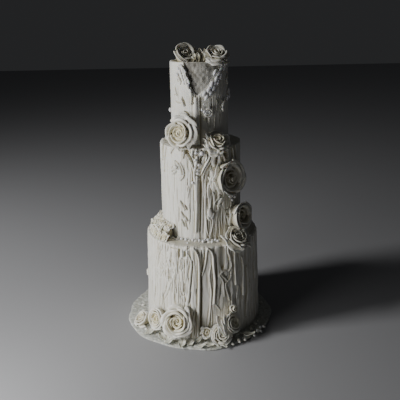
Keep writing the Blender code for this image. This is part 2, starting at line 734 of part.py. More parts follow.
def make_upper_tier():
    """Add the top tier with its neckline, the trim along it and its small reliefs."""
    item = new_object(UPPER.name, tier_solid(UPPER), BUTTERCREAM)
    carve(item, [neck_cutter()])
    pieces = [
        side_cord(UPPER, ((-41.0, 471 * MM), (-30.0, 455 * MM), (-25.0, 441 * MM),
                          (-11.0, 423 * MM), (-6.0, 414 * MM)), 1.9 * MM),
        side_cord(UPPER, ((WRAP_AZIMUTH + 1.6, 412 * MM), (WRAP_AZIMUTH + 2.2, 385 * MM),
                          (WRAP_AZIMUTH + 2.0, 365 * MM), (WRAP_AZIMUTH + 1.8, 350 * MM)), 2.0 * MM),
    ]
    for step in range(7):
        share = step / 6
        azimuth = blend(51.0, 7.0, share ** 0.85)
        height = blend(466.0, 417.0, share) * MM
        pieces.append(side_petal(UPPER, azimuth, height, 3.2 * MM, -48.0, 1.7, 0.7))
    for step in range(5):
        share = step / 4
        spot_azimuth = blend(-47.0, -24.0, share ** 1.2)
        pieces.append(side_petal(UPPER, spot_azimuth, blend(468.0, 437.0, share) * MM,
                                 2.0 * MM, 0.0, 1.0, 0.9))
    pieces += [
        side_petal(UPPER, -46.0, 447 * MM, 3.6 * MM, -30.0, 1.5),
        side_petal(UPPER, -31.0, 412 * MM, 3.2 * MM, 25.0, 2.0),
        side_petal(UPPER, 13.5, 397 * MM, 5.2 * MM, 20.0, 1.2, 0.7),
        side_petal(UPPER, 52.0, 401 * MM, 3.4 * MM, 15.0, 2.0, 0.6),
        side_petal(UPPER, 77.0, 417 * MM, 3.8 * MM, -10.0, 1.7, 0.6),
        side_petal(UPPER, 74.0, 450 * MM, 3.2 * MM, 10.0, 1.7, 0.6),
        side_petal(UPPER, -86.0, 394 * MM, 3.0 * MM, 0.0, 1.5, 0.8),
        side_petal(UPPER, 128.0, 430 * MM, 3.6 * MM, 20.0),
        side_petal(UPPER, 176.0, 400 * MM, 4.2 * MM, -30.0),
        side_petal(UPPER, 222.0, 436 * MM, 3.6 * MM, 30.0),
    ]
    fuse(item, pieces)
    return item


def skirt_reach(azimuth):
    """Return how far the foot icing reaches from the cake's axis at an azimuth."""
    outwards = polar(azimuth, 1.0, 0.0)
    along = SKIRT_MIDDLE[0] * outwards.x + SKIRT_MIDDLE[1] * outwards.y
    off = SKIRT_MIDDLE[0] ** 2 + SKIRT_MIDDLE[1] ** 2
    return along + math.sqrt(along * along - off + SKIRT_RADIUS ** 2)


def make_skirt():
    """Add the thin uneven band of icing round the foot, with small petals on it."""
    bm = bmesh.new()
    draw = random.Random(FLUTE_SEED + 4)
    inner_radius = FOOT_RADIUS + GAP
    columns = []
    for index in range(SKIRT_COLUMNS):
        azimuth = 360.0 * index / SKIRT_COLUMNS
        wave = math.sin(math.radians(5.0 * azimuth + 40.0)) + 0.6 * math.sin(
            math.radians(13.0 * azimuth))
        outer = skirt_reach(azimuth) + SKIRT_WAVE * (0.6 * wave + draw.uniform(-0.5, 0.5))
        sag = 1.0 / math.cos(math.pi / SKIRT_COLUMNS)
        stops = ((inner_radius * sag, 0.0), (outer - 0.8 * MM, 0.0), (outer, SKIRT_EDGE),
                 (outer - 3.5 * MM, SKIRT_THICKNESS), (inner_radius * sag, SKIRT_THICKNESS))
        columns.append([bm.verts.new(polar(azimuth, radius, height)) for radius, height in stops])
    for index, column in enumerate(columns):
        after = columns[(index + 1) % SKIRT_COLUMNS]
        for row, start in enumerate(column):
            nxt = (row + 1) % len(column)
            bm.faces.new((start, after[row], after[nxt], column[nxt]))
    bmesh.ops.recalc_face_normals(bm, faces=bm.faces)
    item = new_object("foot_icing", bm, SPREAD_CREAM)
    pieces = []
    for azimuth in (-86.0, 49.0, 57.0, 66.0, 80.0, 98.0, 118.0, 176.0, 187.0, 248.0, 262.0):
        size = draw.uniform(3.2, 4.6) * MM
        spot = polar(azimuth, draw.uniform(117.0, 122.0) * MM, SKIRT_THICKNESS + 0.25 * size)
        pieces.append(bead(spot, size, facing(azimuth, 70.0), 0.7, draw.uniform(0.0, 180.0), 1.3))
    fuse(item, pieces)
    return item


ROSES = (
    Rose("top_rose_left", (-43.1, 36.0, 486.8), (8.0, 32.0), 17.0 * MM, 14.0 * MM,
         turns=3.2, stations=12, bud=0.75, droop=0.3, flare=0.18, root=12.0 * MM, spin=150.0),
    Rose("top_rose_right", (48.3, 38.0, 483.6), (14.0, 44.0), 17.5 * MM, 13.0 * MM,
         turns=3.2, stations=12, bud=0.75, droop=0.3, flare=0.18, root=12.0 * MM, spin=40.0),
    Rose("waist_rose", (-30.4, 63.0, 361.8), (-22.0, 14.0), 23.0 * MM, 14.0 * MM,
         turns=3.6, stations=13, bud=0.85, droop=0.3, flare=0.14, root=24.0 * MM, spin=200.0),
    Rose("waist_ruffle", (25.5, 62.0, 345.5), (42.0, 52.0), 17.5 * MM, 13.0 * MM,
         turns=2.6, bud=0.6, droop=0.2, flare=0.2, root=16.0 * MM, spin=20.0),
    Rose("side_rose_upper", (34.8, 76.6, 287.6), (48.0, 6.0), 28.0 * MM, 16.0 * MM,
         turns=3.4, stations=13, bud=0.7, droop=0.15, root=16.0 * MM, spin=160.0),
    Rose("side_rose_lower", (54.5, 80.0, 214.5), (52.0, 8.0), 22.5 * MM, 15.0 * MM,
         turns=3.2, stations=12, bud=0.7, droop=0.15, root=22.0 * MM, spin=110.0),
    Rose("ledge_rose", (38.0, 94.0, 179.7), (56.0, 46.0), 24.0 * MM, 15.0 * MM,
         turns=3.4, stations=12, bud=0.7, droop=0.2, flare=0.16, root=16.0 * MM, spin=60.0),
    Rose("foot_rose_far_left", (-66.8, 124.0, 11.2), (-66.0, 52.0), 14.5 * MM, 9.0 * MM,
         turns=2.8, stations=10, bud=0.85, droop=0.3, root=10.0 * MM),
    Rose("foot_rose_left", (-45.1, 114.0, 32.1), (-46.0, 16.0), 18.5 * MM, 11.0 * MM,
         bud=0.85, droop=0.3, root=12.0 * MM, spin=40.0),
    Rose("foot_rose_large", (-23.0, 114.0, 39.7), (-19.0, 22.0), 27.5 * MM, 17.0 * MM,
         turns=3.6, stations=14, bud=0.6, droop=0.15, flare=0.14, root=16.0 * MM, spin=90.0),
    Rose("foot_rose_small", (2.7, 114.0, 22.6), (2.0, 20.0), 9.0 * MM, 6.0 * MM,
         turns=2.6, stations=9, bud=0.85, droop=0.3, root=9.0 * MM),
    Rose("foot_rose_front", (13.8, 119.0, 15.6), (14.0, 46.0), 18.0 * MM, 12.0 * MM,
         turns=3.2, stations=12, bud=0.9, droop=0.35, root=15.0 * MM, spin=120.0),
    Rose("foot_rose_right", (21.5, 112.5, 33.7), (52.0, 24.0), 20.0 * MM, 12.0 * MM,
         spin=10.0),
    Rose("foot_bud", (27.0, 112.5, 60.0), (30.0, 20.0), 7.5 * MM, 6.5 * MM,
         turns=2.4, stations=8, bud=0.95, droop=0.3, flare=0.1, root=8.0 * MM),
    Rose("foot_rose_back_left", (232.0, 114.0, 27.0), (232.0, 20.0), 22.0 * MM, 12.0 * MM,
         spin=30.0),
    Rose("foot_rose_back", (202.0, 118.0, 15.0), (202.0, 38.0), 16.5 * MM, 9.0 * MM,
         turns=2.8, stations=10, bud=0.85, droop=0.3, root=12.0 * MM, spin=80.0),
    Rose("foot_rose_back_right", (142.0, 114.0, 30.0), (142.0, 20.0), 24.0 * MM, 14.0 * MM,
         bud=0.75, droop=0.2, spin=10.0),
    Rose("ledge_rose_back", (178.0, 92.0, 186.0), (178.0, 44.0), 20.0 * MM, 13.0 * MM,
         bud=0.75, droop=0.2, flare=0.14, root=16.0 * MM, spin=10.0),
)

# Roses that press against an earlier one and are cut clear of it.
PRESSED = {
    "foot_rose_left": ("foot_rose_large", "foot_rose_far_left"),
    "foot_rose_small": ("foot_rose_front",),
    "foot_rose_right": ("foot_rose_front",),
    "foot_bud": ("foot_rose_right",),
    "side_rose_lower": ("ledge_rose",),
}


def crest_depth(tier, azimuth, half_width):
    """Return how far the ridges near an azimuth stand proud of a tier's plain side."""
    reach = math.degrees(half_width / tier.foot_radius)
    near = [ridge.depth * ridge.swell for ridge in tier.ridges
            if abs((ridge.azimuth - azimuth + 180.0) % 360.0 - 180.0) < reach]
    return max(near + [0.0])


def fit_cutter(tier, azimuth, half_width):
    """Return a plain drum that cuts a flower's back, so that it sits on the ridges."""
    proud = 1.2 * crest_depth(tier, azimuth, half_width) + GAP
    widen = 1.0 / math.cos(math.pi / CUTTER_SIDES)
    bm = bmesh.new()
    bmesh.ops.create_cone(bm, cap_ends=True, segments=CUTTER_SIDES,
                          radius1=(tier.foot_radius + proud) * widen,
                          radius2=(tier.top_radius + proud) * widen,
                          depth=tier.top - tier.base + 2.0 * GAP)
    bmesh.ops.translate(bm, verts=bm.verts, vec=(0.0, 0.0, 0.5 * (tier.top + tier.base)))
    return new_object("cutter", bm)


def skirt_cutter():
    """Return a block whose top lies just above the foot icing."""
    bm = bmesh.new()
    bmesh.ops.create_cube(bm, size=BLOCK_SIZE)
    bmesh.ops.translate(bm, verts=bm.verts,
                        vec=(0.0, 0.0, SKIRT_THICKNESS + GAP - 0.5 * BLOCK_SIZE))
    return new_object("cutter", bm)


def make_rose(rose, by_name):
    """Add a rose and cut it to fit the icing that it is pressed into."""
    item = new_object(rose.name, rose_solid(rose), ROSE_CREAM)
    azimuth = rose.place[0]
    if rose.centre.z < LEDGE_LEVEL:
        cutters = [fit_cutter(BOTTOM, azimuth, rose.radius), skirt_cutter()]
    elif rose.centre.z < WAIST_LEVEL:
        cutters = [fit_cutter(tier, azimuth, rose.radius) for tier in (BOTTOM, MIDDLE)]
    else:
        cutters = [fit_cutter(tier, azimuth, rose.radius) for tier in (MIDDLE, UPPER)]
    carve(item, cutters)
    carve(item, [envelope(by_name[other]) for other in PRESSED.get(rose.name, ())])
    return item


def make_blossom_bank(name, first, last, count, seed):
    """Add a bank of small ruffled petals that fills the ledge beside the middle tier."""
    draw = random.Random(seed)
    bm = bmesh.new()
    columns = []
    low = BOTTOM_TOP + GAP
    wall = MIDDLE_FOOT_RADIUS + BANK_WALL_GAP
    for step in range(BANK_STEPS + 1):
        azimuth = blend(first, last, step / BANK_STEPS)
        swell = math.sin(math.pi * blend(0.14, 0.86, step / BANK_STEPS))
        stops = ((wall, low), (wall + BANK_REACH * swell, low),
                 (wall + 0.8 * BANK_REACH * swell, low + 0.4 * BANK_HEIGHT * swell),
                 (wall, low + BANK_HEIGHT * swell))
        columns.append([bm.verts.new(polar(azimuth, radius, height)) for radius, height in stops])
    for column, after in zip(columns, columns[1:]):
        for row, start in enumerate(column):
            nxt = (row + 1) % len(column)
            bm.faces.new((start, after[row], after[nxt], column[nxt]))
    bm.faces.new(columns[0])
    bm.faces.new(list(reversed(columns[-1])))
    bmesh.ops.recalc_face_normals(bm, faces=bm.faces)
    item = new_object(name, bm, ROSE_CREAM)
    pieces = []
    for index in range(count):
        azimuth = blend(first + 4.0, last - 4.0, (index + 0.5) / count)
        level = (index % 3) / 2.0
        radius = wall + blend(0.85, 0.25, level) * BANK_REACH + draw.uniform(-1.0, 1.0) * MM
        height = low + blend(0.22, 0.92, level) * BANK_HEIGHT
        size = draw.uniform(*PETAL_RADIUS)
        look = facing(azimuth + draw.uniform(-25.0, 25.0), blend(15.0, 60.0, level))
        pieces.append(bead(polar(azimuth, radius, height), size, look, 0.55,
                           draw.uniform(0.0, 180.0), 1.3))
    fuse(item, pieces)
    middle = 0.5 * (first + last)
    carve(item, [fit_cutter(tier, middle, BANK_HEIGHT) for tier in (BOTTOM, MIDDLE)])
    return item


# Foot leaves: name, azimuth, start radius, length, yaw, lift and pitch, lengths in millimetres.
LEAVES = (
    ("foot_leaf_far_left", -48.0, 117.0, 23.0, -14.0, 2.0, -14.0),
    ("foot_leaf_left", -40.0, 122.5, 20.0, 66.0, 2.0, -18.0),
    ("foot_leaf_centre", -25.0, 124.0, 20.0, -38.0, 1.0, -17.0),
    ("foot_leaf_front", -17.5, 121.0, 21.0, 4.0, 1.0, -17.0),
    ("foot_leaf_middle", -0.5, 128.0, 18.0, 84.0, 2.0, -10.0),
    ("foot_leaf_right", 36.0, 118.0, 22.0, 34.0, 6.0, 0.0),
    ("foot_leaf_back_right", 163.0, 112.0, 25.0, 10.0, 2.0, -16.0),
    ("foot_leaf_back_left", 216.0, 114.0, 23.0, -10.0, 2.0, -16.0),
)

# Top leaves, which stand between the two roses: name, azimuth, start radius, yaw and pitch.
TOP_LEAVES = (
    ("top_leaf_front", 4.0, 16.0, 0.0, 50.0),
    ("top_leaf_middle", 0.0, 3.0, 15.0, 65.0),
    ("top_leaf_back", 190.0, 14.0, 20.0, 12.0),
)


def make_leaves():
    """Add the thin wavy leaves that lie on the foot icing and behind the top roses."""
    for name, azimuth, radius, length, yaw, lift, pitch in LEAVES:
        make_leaf(name, azimuth, radius * MM, SKIRT_THICKNESS + GAP, yaw, length * MM,
                  LEAF_SLIMNESS * length * MM, lift * MM, pitch)
    for name, azimuth, radius, yaw, pitch in TOP_LEAVES:
        make_leaf(name, azimuth, radius * MM, UPPER_TOP + GAP, yaw, TOP_LEAF_LENGTH,
                  TOP_LEAF_WIDTH, LEAF_LIFT, pitch)


def build():
    """Build every piece of the cake."""
    clear_scene()
    make_bottom_tier()
    make_middle_tier()
    make_upper_tier()
    make_skirt()
    by_name = {rose.name: rose for rose in ROSES}
    for rose in ROSES:
        make_rose(rose, by_name)
    make_blossom_bank("ledge_blossoms_left", -96.0, -42.0, 13, BANK_SEED)
    make_blossom_bank("ledge_blossoms_back", 214.0, 246.0, 7, BANK_SEED + 1)
    make_leaves()


build()
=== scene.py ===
"""Looks of a three-tier buttercream cake that is dressed like a gown.

Lengths are metres, or millimetres where a docstring says so.  Azimuths are degrees about the
cake's axis, 0 at the front (-Y) and positive towards +X, which is the right-hand side for
somebody who looks at the front.  Every piece stands for a solid of the frame.
"""

import logging
import math
import random
from collections.abc import Sequence
from dataclasses import dataclass
from enum import Enum

import bmesh
import bpy
import numpy as np
from mathutils import Matrix, Vector


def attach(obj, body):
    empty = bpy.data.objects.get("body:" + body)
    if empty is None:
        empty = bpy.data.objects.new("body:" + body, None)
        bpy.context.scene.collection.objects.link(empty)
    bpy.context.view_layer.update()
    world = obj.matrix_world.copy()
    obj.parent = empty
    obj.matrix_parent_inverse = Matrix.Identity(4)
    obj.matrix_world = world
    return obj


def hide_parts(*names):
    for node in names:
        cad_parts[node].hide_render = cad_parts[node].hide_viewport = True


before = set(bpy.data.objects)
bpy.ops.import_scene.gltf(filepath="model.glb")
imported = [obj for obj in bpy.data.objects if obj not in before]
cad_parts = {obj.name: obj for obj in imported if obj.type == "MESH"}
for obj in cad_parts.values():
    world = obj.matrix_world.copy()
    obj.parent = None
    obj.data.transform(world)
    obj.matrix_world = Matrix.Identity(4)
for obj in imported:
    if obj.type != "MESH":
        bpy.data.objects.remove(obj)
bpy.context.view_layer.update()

LOG = logging.getLogger("cake")

MM = 0.001
GAP = 0.3 * MM

# The three stacked tiers: radius at the foot, radius at the rim, height of the rim.
BOTTOM_FOOT_RADIUS = 107.5 * MM
BOTTOM_RADIUS = 101.5 * MM
BOTTOM_TOP = 177.8 * MM
MIDDLE_FOOT_RADIUS = 72.2 * MM
MIDDLE_RADIUS = 70.9 * MM
MIDDLE_TOP = 340.2 * MM
UPPER_FOOT_RADIUS = 50.3 * MM
UPPER_RADIUS = 49.1 * MM
UPPER_TOP = 475.9 * MM

# Icing spread round the foot, which reaches further on the left.
SKIRT_RADIUS = 137.0 * MM
SKIRT_MIDDLE = (-8.0 * MM, 0.5 * MM)
SKIRT_THICKNESS = 4.0 * MM

# Height in millimetres under which a rose belongs to the foot icing.
LEDGE_LEVEL = 100.0

# Numbers kept at each point: how much shade is painted there, how near a flower's heart (on a tier's coat,
# how much grey shade is painted inside the neckline), how far up a petal.
PAINTED_SHADE = "fold"
HEART_TINT_AND_SHADE = "heart"
SHARE = "share"

# Colour of the deepest painted shadow, darker than any painted hollow, where the painted shade's number
# reaches two.
DEEPEST_SHADE = (0.17, 0.14, 0.08)

Colour = tuple[float, float, float]
Stop = tuple[float, float]
Piece = bpy.types.Object
Shape = bmesh.types.BMesh
Point = bmesh.types.BMVert
Socket = bpy.types.NodeSocket


# ---- geometry words


def polar(azimuth: float, radius: float, height: float) -> Vector:
    """Return the point at an azimuth in degrees, a radius and a height."""
    turn = math.radians(azimuth)
    return Vector((radius * math.sin(turn), -radius * math.cos(turn), height))


def facing(azimuth: float, elevation: float) -> Vector:
    """Return the unit vector that looks outwards at an azimuth and up by an elevation."""
    lift = math.radians(elevation)
    flat = polar(azimuth, math.cos(lift), 0.0)
    return Vector((flat.x, flat.y, math.sin(lift)))


def frame_at(origin: Vector, direction: Vector, spin: float = 0.0) -> Matrix:
    """Return the matrix whose Z axis is the direction, turned about it by spin degrees."""
    turn = direction.to_track_quat("Z", "Y").to_matrix().to_4x4()
    return Matrix.Translation(origin) @ turn @ Matrix.Rotation(math.radians(spin), 4, "Z")


def blend(low: float, high: float, share: float) -> float:
    """Return the value a share of the way from low to high."""
    return low + (high - low) * share


def ease(share: np.ndarray) -> np.ndarray:
    """Return a share that starts and ends softly, clipped to 0 and 1."""
    share = np.clip(share, 0.0, 1.0)
    return share * share * (3.0 - 2.0 * share)


def wrapped(azimuth: np.ndarray) -> np.ndarray:
    """Return azimuths in degrees moved into the range from -180 to 180."""
    return (azimuth + 180.0) % 360.0 - 180.0


@dataclass(frozen=True)
class Grain:
    """Smooth noise over an unrolled side, drawn from a seed and closed round the cake.

    Attributes:
        seed: Seed of the lattice.
        columns: Number of lattice cells round the cake.
        cell: Height of a lattice cell.
    """

    seed: int
    columns: int
    cell: float

    def sample(self, azimuth: np.ndarray, height: np.ndarray) -> np.ndarray:
        """Return noise between -1 and 1.

        Args:
            azimuth: Azimuths in degrees.
            height: Heights in metres, of the same shape.

        Returns:
            One value for each point.
        """
        rows = 64
        lattice = np.random.default_rng(self.seed).uniform(-1.0, 1.0, (rows, self.columns))
        across = azimuth / 360.0 * self.columns
        up = height / self.cell
        column = np.floor(across).astype(int)
        row = np.floor(up).astype(int)
        right = ease(across - column)
        above = ease(up - row)
        corners = [[lattice[(row + j) % rows, (column + i) % self.columns] for i in (0, 1)]
                   for j in (0, 1)]
        low = corners[0][0] * (1.0 - right) + corners[0][1] * right
        high = corners[1][0] * (1.0 - right) + corners[1][1] * right
        return low * (1.0 - above) + high * above


# ---- finishes


class Graph:
    """Lays out the nodes of one material."""

    def __init__(self, name: str) -> None:
        """Start a material that has only a shader.

        Args:
            name: Name of the material.
        """
        self.material = bpy.data.materials.new(name)
        self.material.use_nodes = True
        self.nodes = self.material.node_tree.nodes
        self.links = self.material.node_tree.links
        self.shader = self.nodes["Principled BSDF"]
        self.place = self.nodes.new("ShaderNodeTexCoord").outputs["Object"]

    def set(self, socket: str, value: object) -> None:
        """Set a constant on the shader's own socket."""
        self.shader.inputs[socket].default_value = value

    def noise(self, size: float, detail: float = 3.0, stretch: float = 1.0) -> Socket:
        """Return noise on the object's coordinates.

        Args:
            size: Size of a blotch across, in metres.
            detail: Octaves of finer noise.
            stretch: How many times longer a blotch is upwards than across.

        Returns:
            The socket that gives the noise, from 0 to 1.
        """
        mapping = self.nodes.new("ShaderNodeMapping")
        mapping.inputs["Scale"].default_value = (1.0, 1.0, 1.0 / stretch)
        self.links.new(self.place, mapping.inputs["Vector"])
        texture = self.nodes.new("ShaderNodeTexNoise")
        texture.inputs["Scale"].default_value = 1.0 / size
        texture.inputs["Detail"].default_value = detail
        self.links.new(mapping.outputs["Vector"], texture.inputs["Vector"])
        return texture.outputs["Fac"]

    def attribute(self, name: str) -> Socket:
        """Return a number that the mesh stores at each point."""
        node = self.nodes.new("ShaderNodeAttribute")
        node.attribute_name = name
        return node.outputs["Fac"]

    def ramp(self, value: Socket, low: float, high: float,
             start: float, end: float) -> Socket:
        """Return a number mapped from one range to another and clipped.

        Args:
            value: The number.
            low: Number that becomes start.
            high: Number that becomes end.
            start: Result at low.
            end: Result at high.

        Returns:
            The mapped number.
        """
        node = self.nodes.new("ShaderNodeMapRange")
        self.links.new(value, node.inputs["Value"])
        for socket, number in (("From Min", low), ("From Max", high),
                               ("To Min", start), ("To Max", end)):
            node.inputs[socket].default_value = number
        return node.outputs["Result"]

    def mix(self, share: Socket, first: object, second: Colour) -> Socket:
        """Return a colour between a first one, plain or linked, and a second one."""
        node = self.nodes.new("ShaderNodeMix")
        node.data_type = "RGBA"
        self.links.new(share, node.inputs["Factor"])
        if isinstance(first, Socket):
            self.links.new(first, node.inputs["A"])
        else:
            node.inputs["A"].default_value = (*first, 1.0)
        node.inputs["B"].default_value = (*second, 1.0)
        return node.outputs["Result"]

    def bump(self, value: Socket, depth: float) -> None:
        """Add a bump of a depth in metres over the bumps that are there."""
        node = self.nodes.new("ShaderNodeBump")
        node.inputs["Distance"].default_value = depth
        self.links.new(value, node.inputs["Height"])
        target = self.shader.inputs["Normal"]
        if target.links:
            self.links.new(target.links[0].from_socket, node.inputs["Normal"])
        self.links.new(node.outputs["Normal"], target)

    def link(self, value: Socket, socket: str) -> None:
        """Link a value to one of the shader's sockets."""
        self.links.new(value, self.shader.inputs[socket])


@dataclass(frozen=True)
class Buttercream:
    """Finish of one kind of buttercream.

    Attributes:
        name: Name of the material.
        slot: Name of a material slot; not used.
        crest: Colour where the icing stands proud.
        shade_and_blotch: Colour of the shade painted deep in a fold, also laid in random blotches.
        heart: Colour in a flower's heart, or on a tier's coat the grey shade painted inside the neckline.
        drag: Depth of the fine lines that a spatula drags upwards.
        grit: Depth of the fine grain.
        grit_size: Size of the grain across.
        gloss: Lowest roughness, on the smoothest spots.
    """

    name: str
    slot: str
    crest: Colour
    shade_and_blotch: Colour
    heart: Colour
    drag: float
    grit: float
    grit_size: float
    gloss: float

    def material(self) -> bpy.types.Material:
        """Return the finish as a material."""
        graph = Graph(self.name)
        fold = graph.attribute(PAINTED_SHADE)
        # Painted shade: from the crest colour to the shade colour as the painted shade's number goes from
        # 0 to 1, then to the deepest painted shadow at 2.
        colour = graph.mix(graph.ramp(fold, 0.0, 1.0, 0.0, 1.0), self.crest, self.shade_and_blotch)
        colour = graph.mix(graph.ramp(fold, 1.0, 2.0, 0.0, 1.0), colour, DEEPEST_SHADE)
        # A flower's cream heart, or on a tier's coat the grey shade painted inside the neckline.
        colour = graph.mix(graph.attribute(HEART_TINT_AND_SHADE), colour, self.heart)
        blotch = graph.ramp(graph.noise(16 * MM, 4.0, 2.0), 0.42, 0.75, 0.0, 0.12)
        colour = graph.mix(blotch, colour, self.shade_and_blotch)
        graph.link(colour, "Base Color")
        graph.link(graph.ramp(graph.noise(5 * MM, 4.0), 0.3, 0.7, self.gloss, self.gloss + 0.2),
                   "Roughness")
        graph.bump(graph.noise(1.6 * MM, 3.0, 14.0), self.drag)
        graph.bump(graph.noise(self.grit_size, 4.0), self.grit)
        graph.set("Subsurface Weight", 0.12)
        graph.set("Subsurface Radius", (1.0, 0.75, 0.45))
        graph.set("Subsurface Scale", 2.5 * MM)
        graph.set("IOR", 1.45)
        graph.set("Specular IOR Level", 0.45)
        return graph.material


class Finish(Enum):
    """The icing finishes of the cake."""

    # On the coat, the second colour is painted crease shade and the third the grey shade painted inside
    # the neckline.
    COAT = Buttercream("dragged_buttercream", "buttercream", (0.78, 0.77, 0.71), (0.40, 0.35, 0.21),
                       (0.20, 0.19, 0.165), 0.5 * MM, 0.15 * MM, 2.2 * MM, 0.28)
    ROSE = Buttercream("piped_rose_buttercream", "rose_cream", (0.82, 0.81, 0.75), (0.38, 0.33, 0.21),
                       (0.76, 0.70, 0.49), 0.0, 0.07 * MM, 2.6 * MM, 0.24)
    LEAF = Buttercream("pressed_leaf_buttercream", "leaf_cream", (0.74, 0.74, 0.66),
                       (0.42, 0.40, 0.29), (0.66, 0.63, 0.48), 0.0, 0.08 * MM, 1.8 * MM, 0.36)
    SPREAD = Buttercream("stippled_buttercream", "spread_cream", (0.62, 0.63, 0.59),
                         (0.36, 0.36, 0.31), (0.60, 0.58, 0.48), 0.0, 0.25 * MM, 1.8 * MM, 0.45)
    PEARL = Buttercream("sugar_pearl", "buttercream", (0.82, 0.82, 0.83), (0.55, 0.54, 0.52),
                        (0.82, 0.82, 0.83), 0.0, 0.0, 2.2 * MM, 0.12)

    def dress(self, piece: Piece) -> None:
        """Give a piece this finish."""
        material = bpy.data.materials.get(self.value.name) or self.value.material()
        piece.data.materials.clear()
        piece.data.materials.append(material)


# ---- pieces


def store(mesh: bpy.types.Mesh, name: str, values: np.ndarray) -> None:
    """Store a number for each point of a mesh."""
    layer = mesh.attributes.get(name) or mesh.attributes.new(name, "FLOAT", "POINT")
    layer.data.foreach_set("value", np.asarray(values, dtype=np.float32))


def places(mesh: bpy.types.Mesh) -> tuple[np.ndarray, np.ndarray, np.ndarray]:
    """Return the azimuth in degrees, distance from the axis and height of a mesh's points."""
    flat = np.zeros(3 * len(mesh.vertices), dtype=np.float32)
    mesh.vertices.foreach_get("co", flat)
    x, y, z = flat.reshape(-1, 3).astype(float).T
    return np.degrees(np.arctan2(x, -y)), np.hypot(x, y), z


def move_points(mesh: bpy.types.Mesh, azimuth: np.ndarray, radius: np.ndarray,
                height: np.ndarray) -> None:
    """Move a mesh's points to azimuths in degrees, distances from the axis and heights."""
    turn = np.radians(azimuth)
    points = np.column_stack([radius * np.sin(turn), -radius * np.cos(turn), height])
    mesh.vertices.foreach_set("co", points.astype(np.float32).ravel())
    mesh.update()


def vert_layer(bm: Shape, name: str) -> bmesh.types.BMLayerItem:
    """Return a layer of numbers on a bmesh's points, made where it isn't there yet."""
    return bm.verts.layers.float.get(name) or bm.verts.layers.float.new(name)


def faces_of(verts: Sequence[Point]) -> list[bmesh.types.BMFace]:
    """Return the faces that meet at any of the points."""
    return list({face for vert in verts for face in vert.link_faces})


def revolve(bm: Shape, profile: Sequence[Stop], steps: int,
            closed: bool = False) -> list[Point]:
    """Add a shape that is spun round the upright axis.

    Args:
        bm: The bmesh.
        profile: Distance from the axis and height of each stop.
        steps: Steps round the axis.
        closed: Whether the profile comes back to its start.

    Returns:
        The shape's points.
    """
    before = set(bm.verts)
    chain = [bm.verts.new((profile[0][0], 0.0, profile[0][1]))]
    edges = []
    for radius, height in profile[1:]:
        chain.append(bmesh.ops.extrude_vert_indiv(bm, verts=chain[-1:])["verts"][0])
        chain[-1].co = (radius, 0.0, height)
        edges.append(chain[-1].link_edges[0])
    if closed:
        edges.append(bm.edges.new((chain[-1], chain[0])))
    bmesh.ops.spin(bm, geom=chain + edges, cent=(0.0, 0.0, 0.0), axis=(0.0, 0.0, 1.0),
                   dvec=(0.0, 0.0, 0.0), angle=2.0 * math.pi, steps=steps, use_merge=True,
                   use_duplicate=False)
    added = [vert for vert in bm.verts if vert not in before]
    bmesh.ops.remove_doubles(bm, verts=added, dist=1e-6)
    added = [vert for vert in bm.verts if vert not in before]
    bmesh.ops.recalc_face_normals(bm, faces=faces_of(added))
    return added


def finish_piece(name: str, bm: Shape, finish: Finish, replaced: str | None = None,
                 rounds: int = 0) -> Piece:
    """Turn a bmesh into a dressed piece of the cake.

    Args:
        name: Name of the piece.
        bm: Its shape, which is freed.
        finish: Its icing.
        replaced: Node of the frame that it stands for, if any.
        rounds: Levels of subdivision that round it.

    Returns:
        The new object.
    """
    mesh = bpy.data.meshes.new(name)
    bm.to_mesh(mesh)
    bm.free()
    mesh.shade_smooth()
    for layer in (PAINTED_SHADE, HEART_TINT_AND_SHADE):
        if layer not in mesh.attributes:
            store(mesh, layer, np.zeros(len(mesh.vertices)))
    piece = bpy.data.objects.new(name, mesh)
    bpy.context.scene.collection.objects.link(piece)
    if rounds:
        step = piece.modifiers.new("rounding", "SUBSURF")
        step.levels = rounds
        step.render_levels = rounds
    finish.dress(piece)
    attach(piece, "root")
    if replaced is not None:
        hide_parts(replaced)
    LOG.info("%s: %d points", name, len(mesh.vertices))
    return piece


# ---- relief of a side


class Section(Enum):
    """Shape of a stroke's cross-section, as the exponent of its fall from crest to edge."""

    ROUND = 0.6
    SOFT = 1.3
    SHARP = 2.4


@dataclass(frozen=True)
class Stroke:
    """Icing laid along a path on a side, or a groove where its height is negative.

    Attributes:
        path: Azimuth in degrees and height in millimetres of each stop.
        width: Full width in millimetres.
        height: Height above the side in millimetres.
        section: Shape of the cross-section.
        start: Width at the first stop, as a share of the full one.
        end: Width at the last stop, as a share of the full one.
        cover: How far it hides the relief that is under it, 0 to 1.
    """

    path: tuple[Stop, ...]
    width: float
    height: float
    section: Section = Section.SOFT
    start: float = 1.0
    end: float = 1.0
    cover: float = 0.7


def smooth_path(stops: np.ndarray, step: float) -> np.ndarray:
    """Return points a step apart on a smooth curve through the stops."""
    if len(stops) < 3:
        count = max(2, int(np.linalg.norm(stops[-1] - stops[0]) / step) + 1)
        return np.linspace(stops[0], stops[-1], count)
    padded = np.vstack([2 * stops[0] - stops[1], stops, 2 * stops[-1] - stops[-2]])
    points = []
    for before, here, after, beyond in zip(padded, padded[1:], padded[2:], padded[3:]):
        count = max(1, int(np.linalg.norm(after - here) / step))
        for share in np.arange(count) / count:
            points.append(0.5 * (2 * here + (after - before) * share
                                 + (2 * before - 5 * here + 4 * after - beyond) * share ** 2
                                 + (3 * here - before - 3 * after + beyond) * share ** 3))
    points.append(stops[-1])
    return np.array(points)


